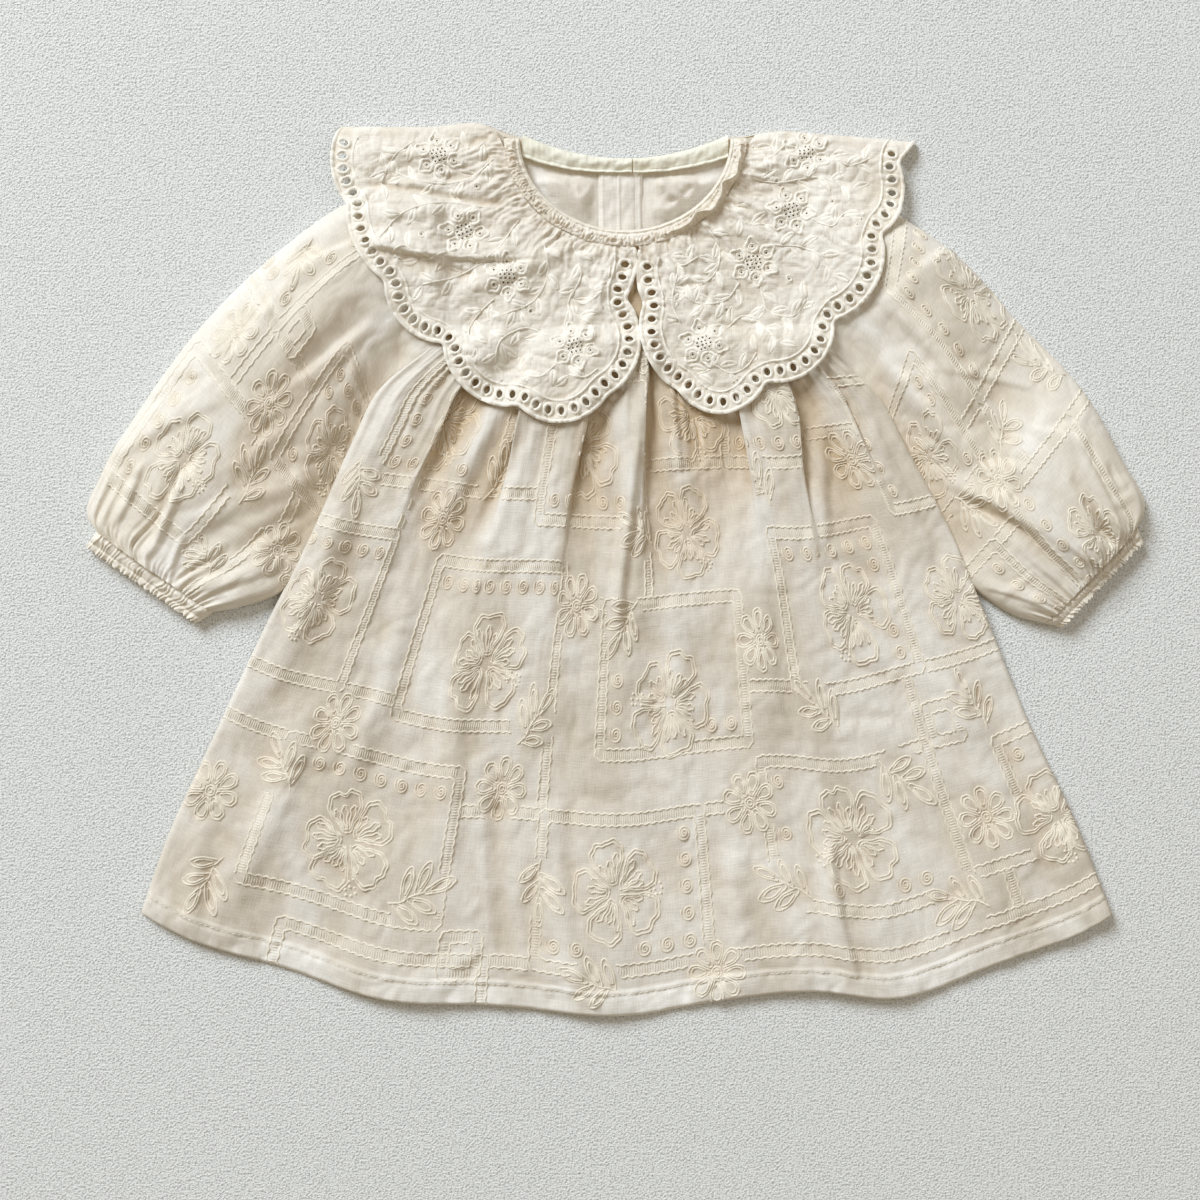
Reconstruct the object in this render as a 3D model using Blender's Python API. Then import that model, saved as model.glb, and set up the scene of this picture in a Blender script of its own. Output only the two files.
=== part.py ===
"""A long-sleeved baby dress of embroidered cotton, laid flat with its front up.

Every piece of cloth is one wall of even thickness. It follows a middle surface, a grid of points that is
worked out from the piece's edges and its folds. X points to the right, Y to the neck and Z up. The origin
is on the surface that the dress lies on, under the middle of its outline. The tables are in millimetres.
"""

import bpy
import numpy as np

MM = 0.001

# Cloth and layers
WALL = 1.2  # every cloth wall
SEAM = 0.3  # gap between two pieces that are sewn edge to edge
LAYER = 1.0  # gap between two layers that lie on each other
YOKE_AIR = 1.9  # gap between back yoke and front yoke, which the placket fills
COLLAR_AIR = 0.4  # gap between the collar and what it lies on
COLLAR_STEP = 0.8  # how much higher the collar lies where it passes from the yoke on to the skirt
COLLAR_STEP_Y = (112.0, 128.0)
SLEEVE_EDGE_AIR = 0.8  # inner gap along a sleeve's folded edges
SLEEVE_AIR = 3.8  # inner gap where a sleeve is fullest
SLEEVE_STACK = 4.2  # how far a sleeve's lower edge lifts the side of the skirt, which lies over it
SLEEVE_STRIP = (9.0, 19.0)  # from the skirt's side: where the lift starts to fall, and where it ends
SLEEVE_SPAN = (0.0, 0.09, 0.45, 0.72)  # shares down the skirt: the lift starts, is full, falls, ends
BACK_YOKE_BASE = WALL + SEAM  # the undersides, from the surface up: the back of the collar lies lowest
INNER_BASE = BACK_YOKE_BASE + WALL + SEAM
FRONT_YOKE_BASE = BACK_YOKE_BASE + WALL + YOKE_AIR
BAND_BASE = INNER_BASE + WALL + SEAM

# Neck
NECK_CENTRE = (5.1, 208.5)
NECK_RADII = (51.0, 45.5)  # front neck opening: half width, drop
BAND_WIDTH = 7.0
BAND_HEIGHT = 3.4
BAND_PROFILE = (
    # share of the width, share of the height
    (0.00, 0.15),
    (0.10, 0.75),
    (0.35, 1.00),
    (0.65, 1.00),
    (0.90, 0.75),
    (1.00, 0.15),
    (0.80, 0.00),
    (0.20, 0.00),
)
YOKE_NECK_GAP = 0.8  # from the band to the front yoke
YOKE_NECK_TURN = (4.0, 176.0)  # the front yoke's share of the half ellipse round the neck, in degrees
COLLAR_NECK_GAP = 0.5  # from the band to the collar
BACK_NECK_LOW = 199.0
BACK_NECK_RISE = 12.0
BINDING_LOW = 192.0
BINDING_RISE = 9.5
BINDING_CURVE = 2.5  # power of the binding's lower edge
BINDING_END = 1.4  # from the neck opening's corner to the binding's end
BACK_SPLIT = 8.6  # x of the slit in the binding
BACK_SPLIT_WIDTH = 0.6

# Yokes and back opening
YOKE_SEAM = 106.0
ARMHOLE_LEFT = ((-96.0, 189.3), (-90.0, YOKE_SEAM))  # shoulder end, underarm end
ARMHOLE_RIGHT = ((104.0, 186.7), (103.4, YOKE_SEAM))
SHOULDER_NECK_LEFT = (-45.5, 208.4)
SHOULDER_NECK_RIGHT = (56.0, 208.4)
FRONT_SHOULDER_LEFT = (-55.0, 203.4)
FRONT_SHOULDER_RIGHT = (65.5, 203.4)
PLACKET_LEFT = -8.0
PLACKET_EDGE = 9.9
PLACKET_RIGHT = 14.0
BUTTON_RADIUS = 4.5
BUTTON_HEIGHT = 1.1
BUTTON_Y = (186.0, 156.0, 126.0)

# Skirt: sides from the underarm to the hem corner, then the hem from left to right
SKIRT_LEFT = (
    # x, y
    (-89.6, 105.7),
    (-114.2, 86.0),
    (-126.8, 60.9),
    (-146.6, 16.4),
    (-171.2, -32.4),
    (-195.9, -84.5),
    (-215.7, -127.5),
    (-229.4, -166.0),
)
SKIRT_RIGHT = (
    (103.2, 105.7),
    (127.3, 83.1),
    (141.8, 57.0),
    (160.5, 22.0),
    (179.0, -21.7),
    (198.8, -70.0),
    (223.9, -123.6),
    (241.0, -166.8),
)
HEM = (
    (-229.4, -166.0),
    (-212.3, -175.8),
    (-156.7, -193.7),
    (-113.7, -207.7),
    (-60.1, -210.8),
    (10.4, -215.5),
    (45.2, -209.6),
    (98.8, -204.3),
    (134.5, -207.7),
    (188.1, -189.8),
    (228.0, -174.5),
    (241.0, -166.8),
)
SKIRT_FOLDS = (
    # at seam, at hem (shares of the width), half width at seam, at hem (shares), height at seam, middle, hem
    (0.090, 0.060, 0.070, 0.060, 2.4, 1.8, 0.8),
    (0.245, 0.200, 0.045, 0.055, 2.9, 2.6, 1.2),
    (0.375, 0.310, 0.060, 0.050, 2.9, 2.4, 1.0),
    (0.520, 0.430, 0.035, 0.050, 2.9, 2.2, 1.6),
    (0.595, 0.490, 0.040, 0.045, 2.8, 2.0, 1.0),
    (0.750, 0.620, 0.060, 0.055, 2.9, 2.6, 1.4),
    (0.930, 0.880, 0.070, 0.070, 2.4, 2.2, 1.8),
    (0.860, 0.790, 0.030, 0.050, 0.0, 0.6, 1.8),
)
SKIRT_FOLD_MIDDLE = 0.35  # share of the way down where the table's middle height is reached
SKIRT_SIDE_COLUMNS = (0.0, 0.012, 0.024, 0.036, 0.05, 0.066)  # closer columns where a sleeve lifts the skirt

# Sleeves: the upper and lower folded edges from the armhole to the cuff seam
SLEEVE_LEFT_UPPER = (
    (-96.5, 189.1),
    (-128.7, 177.7),
    (-160.6, 155.5),
    (-196.3, 121.7),
    (-228.7, 78.7),
    (-248.0, 46.4),
    (-254.4, 25.0),
    (-249.8, 18.8),
)
SLEEVE_LEFT_LOWER = (
    (-92.4, 106.0),
    (-111.0, 90.6),
    (-121.0, 70.0),
    (-126.0, 52.0),
    (-135.0, 29.0),
    (-147.0, 3.0),
    (-160.6, -10.6),
    (-181.0, -18.0),
    (-193.6, -20.5),
)
SLEEVE_RIGHT_UPPER = (
    (104.5, 186.5),
    (136.4, 171.5),
    (169.8, 147.8),
    (195.4, 119.8),
    (223.4, 90.3),
    (245.1, 53.1),
    (255.8, 28.5),
    (252.5, 21.0),
)
SLEEVE_RIGHT_LOWER = (
    (105.8, 106.0),
    (123.0, 91.0),
    (133.5, 68.0),
    (139.0, 52.0),
    (150.0, 28.0),
    (162.0, 3.0),
    (172.2, -7.7),
    (195.4, -22.7),
    (207.5, -25.8),
)
SLEEVE_RIDGE = 1.3  # the highest fold, which counts in SLEEVE_AIR
SLEEVE_FILL = (0.25, 0.6)  # shares of the way to the cuff where the sleeve starts to be full, and is full
CUFF_AIR = 1.2
CUFF_GATHER = 0.35
CUFF_SEAM = 0.8  # gap between sleeve and cuff
CUFF_LEFT = ((-255.3, 11.6), (-201.7, -25.6))  # frill edge: upper end, lower end
CUFF_RIGHT = ((255.3, 14.0), (215.8, -27.4))
SLEEVE_FOLDS = (
    # across (share of the width), half width (share), height at armhole, middle, cuff
    (0.20, 0.13, 0.1, 0.9, 1.2),
    (0.48, 0.12, 0.2, 1.3, 1.0),
    (0.76, 0.12, 0.1, 0.9, 1.2),
)

# Collar: the points between the scallops, from the centre front at the neck to the tip of the shoulder fold
COLLAR_LEFT = (
    # x, y, bulge of the scallop that ends here
    (10.2, 155.0, 0.0),
    (5.2, 130.4, 2.5),
    (-3.2, 83.6, 11.5),
    (-46.2, 78.7, 11.0),
    (-81.9, 108.7, 10.5),
    (-109.4, 137.7, 8.6),
    (-127.8, 175.3, 5.6),
    (-131.6, 214.6, 6.6),
)
COLLAR_RIGHT = (
    (11.9, 154.6, 0.0),
    (14.2, 128.0, 3.0),
    (29.9, 86.9, 8.4),
    (72.7, 89.8, 13.6),
    (105.1, 119.8, 10.9),
    (126.5, 159.4, 9.6),
    (136.6, 195.6, 6.9),
    (145.6, 207.2, 0.0),
)
COLLAR_CORNER = 0.235  # share of the scalloped edge that runs down the centre front
COLLAR_FOLD_LEFT = ((-54.0, 209.8), (-60.6, 214.6), (-89.0, 214.6), (-131.6, 214.6))
COLLAR_FOLD_RIGHT = ((64.2, 209.8), (73.7, 212.0), (103.0, 210.8), (145.6, 207.2))
COLLAR_BACK_REACH = (132.0, 90.0)  # neck centre to the points between the back scallops: across, down
COLLAR_BACK_SCALLOPS = 5
COLLAR_BACK_BULGE = 7.0
COLLAR_BACK_PART = 8.0  # from the centre back to each half's edge at the neck
COLLAR_BACK_SPREAD = 10.0  # and at the outer edge
COLLAR_TURN = 2.4  # horizontal radius of the shoulder fold
COLLAR_FOLDS = (
    # share of the way from centre front to shoulder, half width (share), height at the neck, at the edge
    (0.20, 0.07, 0.5, 1.2),
    (0.42, 0.06, 0.6, 1.6),
    (0.63, 0.06, 0.6, 1.4),
    (0.84, 0.06, 0.5, 1.0),
)
LIFT_REACH = (1.13, 1.3)  # in back collar reaches: where the layers over it start to come down, and are down


# ---------------------------------------------------------------- curves and grids


def even(line, count):
    """Points at even steps along a line of points."""
    line = np.asarray(line, float)
    reach = np.concatenate([[0.0], np.cumsum(np.linalg.norm(np.diff(line, axis=0), axis=1))])
    stops = np.linspace(0.0, reach[-1], count)
    return np.stack([np.interp(stops, reach, line[:, k]) for k in range(line.shape[1])], axis=1)


def rounded(points, count, fine=24):
    """Even points on a smooth curve through the given ones, a cubic between each two of them."""
    points = np.asarray(points, float)
    reach = np.concatenate([[0.0], np.cumsum(np.linalg.norm(np.diff(points, axis=0), axis=1))])
    slope = np.gradient(points, reach, axis=0)
    at = np.linspace(0.0, reach[-1], fine * len(points))
    i = np.clip(np.searchsorted(reach, at, side="right") - 1, 0, len(points) - 2)
    step = (reach[i + 1] - reach[i])[:, None]
    t = (at - reach[i])[:, None] / step
    curve = (
        (1 + 2 * t) * (1 - t) ** 2 * points[i]
        + t * (1 - t) ** 2 * step * slope[i]
        + t * t * (3 - 2 * t) * points[i + 1]
        + t * t * (t - 1) * step * slope[i + 1]
    )
    return even(curve, count)


def scallops(rows, side, fine=16):
    """A line of arcs through the rows' points, each bulging by its row's third value to the given side."""
    rows = np.asarray(rows, float)
    t = np.linspace(0.0, 1.0, fine, endpoint=False)[:, None]
    pieces = []
    for start, end in zip(rows[:-1], rows[1:]):
        along = end[:2] - start[:2]
        out = np.array([along[1], -along[0]]) / np.linalg.norm(along) * side
        pieces.append(start[:2] + along * t + out * end[2] * (4 * t * (1 - t)) ** 0.8)
    return np.concatenate([*pieces, rows[-1:, :2]])


def blend_edges(top, bottom, left, right):
    """A grid filled in from its four edges (a Coons patch): rows from top to bottom, columns left to right."""
    u = np.linspace(0.0, 1.0, len(top))[None, :, None]
    v = np.linspace(0.0, 1.0, len(left))[:, None, None]
    rows = top[None] * (1 - v) + bottom[None] * v
    columns = left[:, None] * (1 - u) + right[:, None] * u
    corners = (
        (1 - v) * ((1 - u) * top[0] + u * top[-1]) + v * ((1 - u) * bottom[0] + u * bottom[-1])
    )
    return rows + columns - corners


def soft(low, high, value):
    """0 below low, 1 above high and a smooth slope between."""
    t = np.clip((value - low) / (high - low), 0.0, 1.0)
    return t * t * (3 - 2 * t)


def hump(distance):
    """1 in the middle, falling smoothly to 0 at a distance of 1 and beyond."""
    return np.cos(np.clip(distance, -1.0, 1.0) * np.pi / 2) ** 2


def with_height(flat, height):
    return np.dstack([flat, np.broadcast_to(height, flat.shape[:2])])


# ---------------------------------------------------------------- solids


def cotton(name, colour):
    material = bpy.data.materials.new(name)
    material.use_nodes = True
    shader = material.node_tree.nodes["Principled BSDF"]
    shader.inputs["Base Color"].default_value = (*colour, 1.0)
    shader.inputs["Roughness"].default_value = 0.9
    shader.inputs["Metallic"].default_value = 0.0
    return material


def add_solid(name, points, faces, material):
    """One smooth-shaded object from points in millimetres, its faces turned outward."""
    fans = [(face[0], face[k], face[k + 1]) for face in faces for k in range(1, len(face) - 1)]
    corners = points[np.array(fans)]
    volume = np.einsum("ij,ij->", corners[:, 0], np.cross(corners[:, 1], corners[:, 2]))
    if volume < 0:
        faces = [face[::-1] for face in faces]
    mesh = bpy.data.meshes.new(name)
    mesh.from_pydata((points * MM).tolist(), [], faces)
    mesh.materials.append(material)
    mesh.shade_smooth()
    mesh.set_sharp_from_angle(angle=np.radians(50.0))
    item = bpy.data.objects.new(name, mesh)
    bpy.context.scene.collection.objects.link(item)


def wall(name, middle, material, thickness=WALL, wraps=False):
    """A closed wall of even thickness round a grid of middle points. A grid that wraps makes an open tube."""
    rows, columns = middle.shape[:2]
    if wraps:
        across = np.roll(middle, -1, axis=1) - np.roll(middle, 1, axis=1)
    else:
        across = np.gradient(middle, axis=1)
    normal = np.cross(np.gradient(middle, axis=0), across)
    normal /= np.linalg.norm(normal, axis=2, keepdims=True)
    outer = middle + normal * thickness / 2
    inner = middle - normal * thickness / 2
    points = np.concatenate([outer.reshape(-1, 3), inner.reshape(-1, 3)])
    index = np.arange(rows * columns).reshape(rows, columns)
    if wraps:
        index = np.hstack([index, index[:, :1]])
    skin = np.stack([index[:-1, :-1], index[:-1, 1:], index[1:, 1:], index[1:, :-1]], axis=-1).reshape(-1, 4)
    borders = [index[0], index[-1][::-1]]
    if not wraps:
        borders += [index[::-1, 0], index[:, -1]]
    back = rows * columns
    rims = [np.stack([edge[1:], edge[:-1], edge[:-1] + back, edge[1:] + back], axis=-1) for edge in borders]
    faces = np.concatenate([skin, skin[:, ::-1] + back, *rims])
    add_solid(name, points, faces.tolist(), material)


def remove_everything():
    for item in list(bpy.data.objects):
        bpy.data.objects.remove(item)


# ---------------------------------------------------------------- heights that several pieces share


def collar_lift(flat):
    """How far the layers over the folded-back collar are raised."""
    reach = np.linalg.norm((flat - np.array(NECK_CENTRE)) / np.array(COLLAR_BACK_REACH), axis=-1)
    return (WALL + SEAM) * (1 - soft(*LIFT_REACH, reach))


def sleeve_lift(side, down):
    """How far the skirt is raised at a distance from its side and a share of the way down."""
    near = 1 - soft(*SLEEVE_STRIP, side)
    start, full, fall, end = SLEEVE_SPAN
    return SLEEVE_STACK * near * soft(start, full, down) * (1 - soft(fall, end, down))


def neck_arc(extra, count, start=0.0, end=180.0):
    """Points of the front neck's half ellipse, widened by extra, from the left shoulder (0) to the right."""
    turn = np.radians(np.linspace(start, end, count))
    x = NECK_CENTRE[0] - (NECK_RADII[0] + extra) * np.cos(turn)
    y = NECK_CENTRE[1] - (NECK_RADII[1] + extra) * np.sin(turn)
    return np.stack([x, y], axis=1)


def back_neck(x, low, rise, power):
    share = np.abs((x - NECK_CENTRE[0]) / NECK_RADII[0])
    return low + rise * share**power


# ---------------------------------------------------------------- pieces


def make_yokes(material):
    """Front yoke round the neck; back yokes and placket strips each side of the back opening."""
    along = 21
    inner = neck_arc(BAND_WIDTH + YOKE_NECK_GAP, along, *YOKE_NECK_TURN)
    outline = [
        FRONT_SHOULDER_LEFT,
        ARMHOLE_LEFT[0],
        (ARMHOLE_LEFT[1][0], YOKE_SEAM + SEAM),
        (ARMHOLE_RIGHT[1][0], YOKE_SEAM + SEAM),
        ARMHOLE_RIGHT[0],
        FRONT_SHOULDER_RIGHT,
    ]
    steps = (3, 5, 4, 5, 3)
    sides = [even(outline[k : k + 2], steps[k] + 1)[:-1] for k in range(len(steps))]
    outer = np.concatenate([*sides, [outline[-1]]])
    flat = blend_edges(inner, outer, even([inner[0], outer[0]], 5), even([inner[-1], outer[-1]], 5))
    shoulder = np.minimum(np.arange(along), np.arange(along)[::-1])
    drop = (YOKE_AIR - SEAM) * (1 - soft(0.0, 2.0, shoulder))
    height = FRONT_YOKE_BASE + WALL / 2 - drop
    wall("front_yoke", with_height(flat, height[None, :]), material)

    shapes = {
        "back_yoke_left": (ARMHOLE_LEFT, SHOULDER_NECK_LEFT, PLACKET_LEFT),
        "back_yoke_right": (ARMHOLE_RIGHT, SHOULDER_NECK_RIGHT, PLACKET_RIGHT),
    }
    for name, (armhole, shoulder_neck, placket) in shapes.items():
        x = np.linspace(shoulder_neck[0], placket, 7)
        neck_y = np.minimum(back_neck(x, BACK_NECK_LOW, BACK_NECK_RISE, 2.0), shoulder_neck[1])
        neck = np.stack([x, neck_y], axis=1)
        top = np.concatenate([even([armhole[0], neck[0]], 6)[:-1], neck])
        foot = even([(armhole[1][0], YOKE_SEAM + SEAM), (placket, YOKE_SEAM + SEAM)], len(top))
        flat = blend_edges(top, foot, even([top[0], foot[0]], 5), even([top[-1], foot[-1]], 5))
        wall(name, with_height(flat, BACK_YOKE_BASE + WALL / 2), material)

    for name, left, right, base, high in (
        ("placket_outer", PLACKET_LEFT + SEAM, PLACKET_RIGHT - SEAM, BACK_YOKE_BASE, BACK_NECK_LOW),
        ("placket_inner", PLACKET_LEFT + SEAM, PLACKET_EDGE, INNER_BASE, BINDING_LOW - SEAM),
    ):
        x = np.linspace(left, right, 4)
        top = np.stack([x, np.full(4, high)], axis=1)
        foot = np.stack([x, np.full(4, YOKE_SEAM + SEAM)], axis=1)
        flat = blend_edges(top, foot, even([top[0], foot[0]], 4), even([top[-1], foot[-1]], 4))
        wall(name, with_height(flat, base + WALL / 2), material)


def make_neck(band_material, binding_material):
    """The gathered band round the front neck, and the bias binding inside the back neck."""
    count = 25
    rings = []
    for across, up in BAND_PROFILE:
        line = neck_arc(across * BAND_WIDTH, count)
        rings.append(np.column_stack([line, np.full(count, BAND_BASE + up * BAND_HEIGHT)]))
    sides = len(BAND_PROFILE)
    points = np.concatenate(rings)
    index = np.arange(sides * count).reshape(sides, count)
    index = np.vstack([index, index[:1]])
    faces = np.stack([index[:-1, :-1], index[:-1, 1:], index[1:, 1:], index[1:, :-1]], axis=-1).reshape(-1, 4)
    faces = [*faces.tolist(), index[:-1, 0].tolist(), index[:-1, -1][::-1].tolist()]
    add_solid("neck_band", points, faces, band_material)

    reach = NECK_RADII[0] - BINDING_END
    half_slit = BACK_SPLIT_WIDTH / 2
    for name, left, right in (
        ("neck_binding_left", NECK_CENTRE[0] - reach, BACK_SPLIT - half_slit),
        ("neck_binding_right", BACK_SPLIT + half_slit, NECK_CENTRE[0] + reach),
    ):
        x = np.linspace(left, right, 9)
        top = np.stack([x, back_neck(x, BACK_NECK_LOW, BACK_NECK_RISE, 2.0)], axis=1)
        foot = np.stack([x, back_neck(x, BINDING_LOW, BINDING_RISE, BINDING_CURVE)], axis=1)
        flat = blend_edges(top, foot, even([top[0], foot[0]], 3), even([top[-1], foot[-1]], 3))
        wall(name, with_height(flat, INNER_BASE + WALL / 2), binding_material)


def make_buttons(material):
    """Three flat buttons on the outside of the placket, under the dress as it lies."""
    sides = 16
    turn = np.arange(sides) * 2 * np.pi / sides
    for number, y in enumerate(BUTTON_Y, start=1):
        ring = np.stack([np.cos(turn), np.sin(turn)], axis=1) * BUTTON_RADIUS + (BACK_SPLIT, y)
        low = np.column_stack([ring, np.zeros(sides)])
        high = np.column_stack([ring, np.full(sides, BUTTON_HEIGHT)])
        start = np.arange(sides)
        after = (start + 1) % sides
        faces = np.stack([start, after, after + sides, start + sides], axis=1).tolist()
        caps = [start[::-1].tolist(), (start + sides).tolist()]
        add_solid(f"back_button_{number}", np.concatenate([low, high]), faces + caps, material)


def fold_height(u, v, folds):
    """Height of the ridges at a share u across and v down the skirt. Each row of the table is one ridge."""
    height = np.zeros(np.broadcast(u, v).shape)
    for seam, hem, half_seam, half_hem, high_seam, high_middle, high_hem in folds:
        middle = seam + (hem - seam) * v**0.8
        half = half_seam + (half_hem - half_seam) * v
        high = np.interp(v, [0.0, SKIRT_FOLD_MIDDLE, 1.0], [high_seam, high_middle, high_hem])
        height = np.maximum(height, high * hump((u - middle) / half))
    return height


def blend_at(u, top, bottom, left, right):
    """The grid of blend_edges, with its columns moved to the shares u."""
    grid = blend_edges(top, bottom, left, right)
    old = np.linspace(0.0, 1.0, grid.shape[1])
    return np.stack([[np.interp(u, old, row[:, k]) for row in grid] for k in (0, 1)], axis=-1)


def make_skirt(material):
    """Front and back skirt: one wall each, filled in from the yoke seam, the sides and the hem."""
    fine = 241
    rows = 11
    near = np.array(SKIRT_SIDE_COLUMNS)
    v = np.linspace(0.0, 1.0, rows)[:, None]
    for name, middle, front in (("front_skirt", 38, True), ("back_skirt", 13, False)):
        u = np.concatenate([near[:-1], np.linspace(near[-1], 1.0 - near[-1], middle), 1.0 - near[-2::-1]])
        top = even([SKIRT_LEFT[0], SKIRT_RIGHT[0]], fine)
        flat = blend_at(u, top, rounded(HEM, fine), rounded(SKIRT_LEFT, rows), rounded(SKIRT_RIGHT, rows))
        width = np.linalg.norm(flat[:, -1] - flat[:, 0], axis=1)[:, None]
        height = WALL / 2 + sleeve_lift(np.minimum(u, 1 - u)[None, :] * width, v)
        if front:
            height = height + WALL + LAYER + fold_height(u[None, :], v, SKIRT_FOLDS)
        wall(name, with_height(flat, height), material)


def tube_rings(upper, lower, front_air, front=13, back=6):
    """Rings of a flattened tube between two folded edges: front wall, turn, back wall and turn."""
    width = np.linalg.norm(lower - upper, axis=1)[:, None]
    along = (lower - upper) / width
    radius = (WALL + SLEEVE_EDGE_AIR) / 2
    inset = radius + WALL / 2
    share = np.linspace(0.0, 1.0, front)[None, :]
    front_at = inset + (width - 2 * inset) * share
    back_at = inset + (width - 2 * inset) * np.linspace(1.0, 0.0, back)[None, :]
    rows = len(upper)
    turn = np.radians(np.broadcast_to([45.0, 0.0, -45.0], (rows, 3)))
    lower_at = width - inset + radius * np.cos(turn)
    upper_at = inset - radius * np.cos(turn)
    at = np.concatenate([front_at, lower_at, back_at, upper_at], axis=1)
    flat = upper[:, None] + along[:, None] * at[..., None]
    base = collar_lift(flat) + WALL / 2
    turn_down = radius + radius * np.sin(turn)
    turn_up = radius - radius * np.sin(turn)
    rise = np.concatenate([WALL + front_air, turn_down, np.zeros((rows, back)), turn_up], axis=1)
    return np.dstack([flat, base + rise])


def make_sleeve(name, upper, lower, material):
    """A balloon sleeve as one flattened tube, open at the armhole and at the cuff seam."""
    rows = 11
    front = 13
    u = np.linspace(0.0, 1.0, front)[None, :]
    v = np.linspace(0.0, 1.0, rows)[:, None]
    full = YOKE_AIR + (SLEEVE_AIR - YOKE_AIR - SLEEVE_RIDGE) * soft(*SLEEVE_FILL, v)
    air = SLEEVE_EDGE_AIR + (full - SLEEVE_EDGE_AIR) * (1 - np.abs(2 * u - 1) ** 3)
    for middle, half, start, centre, end in SLEEVE_FOLDS:
        high = np.interp(v, [0.0, 0.2, 0.6, 1.0], [0.0, start, centre, end])
        air = air + high * hump((u - middle) / half)
    wall(name, tube_rings(rounded(upper, rows), rounded(lower, rows), air, front), material, wraps=True)


def make_cuff(name, upper_end, lower_end, frill, material):
    """A gathered elastic cuff as a short flattened tube, from the cuff seam to the frill's edge."""
    rows = 3
    front = 13
    upper = even([upper_end, frill[0]], rows)
    lower = even([lower_end, frill[1]], rows)
    reach = np.linalg.norm(upper[-1] - upper[0])
    shift = (upper[-1] - upper[0]) / reach * CUFF_SEAM
    upper[0] += shift
    lower[0] += shift
    u = np.linspace(0.0, 1.0, front)[None, :]
    gathers = CUFF_GATHER * np.cos(np.arange(front) * np.pi)[None, :]
    v = np.linspace(0.0, 1.0, rows)[:, None]
    air = SLEEVE_EDGE_AIR + (CUFF_AIR + gathers) * (1 - np.abs(2 * u - 1) ** 4) * (1.2 - 0.5 * v)
    wall(name, tube_rings(upper, lower, air, front), material, wraps=True)


def collar_fold_height(u, v):
    height = np.zeros(np.broadcast(u, v).shape)
    for middle, half, near, far in COLLAR_FOLDS:
        height = np.maximum(height, (near + (far - near) * v) * hump((u - middle) / half))
    return height


def make_collar(name, scallop_rows, fold, side, neck_turns, material):
    """Half a collar: its front, a rounded fold over the shoulder, and its back under the dress."""
    rows = 6
    columns = 27
    back_columns = 13
    v = np.linspace(0.0, 1.0, rows)[:, None]
    fine = 400
    edge = even(scallops(scallop_rows, side), fine)
    corner = int(COLLAR_CORNER * fine)
    fold_line = rounded(fold, rows)
    inward = np.array([0.0, -1.0])
    inset = COLLAR_TURN + WALL / 2
    fold_front = fold_line + inward * inset
    outer = even(edge[corner:], columns)
    slide = np.linspace(0.0, 1.0, columns)[:, None] ** 4
    outer = outer + slide * inward * inset
    neck = neck_arc(BAND_WIDTH + COLLAR_NECK_GAP, columns, *neck_turns)
    neck = neck + (fold_front[0] - neck[-1]) * np.linspace(0.0, 1.0, columns)[:, None] ** 3
    centre = even(edge[: corner + 1], rows)
    centre = centre + (neck[0] - centre[0]) * (1 - v)
    front = blend_edges(neck, outer, centre, fold_front)
    u = np.linspace(0.0, 1.0, columns)[None, :]
    top_z = FRONT_YOKE_BASE + WALL + COLLAR_AIR + WALL / 2
    step = COLLAR_STEP * (1 - soft(*COLLAR_STEP_Y, front[..., 1]))
    front_z = top_z + step + collar_fold_height(u, v)

    back_z = WALL / 2
    turn = np.radians([60.0, 20.0, -20.0, -60.0])
    middle_z = (top_z + back_z) / 2
    turned = fold_front[:, None] - inward * COLLAR_TURN * np.cos(turn)[None, :, None]
    turned_z = middle_z + (top_z - middle_z) * np.sin(turn)[None, :]

    share = np.linspace(0.0, 1.0, back_columns)
    angles = np.radians(np.linspace(0.0, -90.0, COLLAR_BACK_SCALLOPS + 1))
    ellipse = np.stack([side * np.cos(angles), np.sin(angles)], axis=1)
    knots = ellipse * np.array(COLLAR_BACK_REACH) + np.array(NECK_CENTRE)
    knots[0] = fold_front[-1]
    knots[-1, 0] = BACK_SPLIT + side * COLLAR_BACK_SPREAD
    bulge = np.full((len(knots), 1), COLLAR_BACK_BULGE)
    back_outer = even(scallops(np.hstack([knots, bulge]), side), back_columns)
    end_x = BACK_SPLIT + side * COLLAR_BACK_PART
    back_x = fold_front[0, 0] + (end_x - fold_front[0, 0]) * share
    back_low = back_neck(back_x, BACK_NECK_LOW - 1.0, BACK_NECK_RISE, 2.0)
    back_neck_line = np.stack([back_x, np.minimum(back_low, fold_front[0, 1])], axis=1)
    back_centre = even([back_neck_line[-1], back_outer[-1]], rows)
    back = blend_edges(back_neck_line, back_outer, fold_front, back_centre)

    middle = np.concatenate(
        [
            with_height(front, front_z),
            with_height(turned, turned_z),
            with_height(back, back_z),
        ],
        axis=1,
    )
    wall(name, middle, material)


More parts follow.
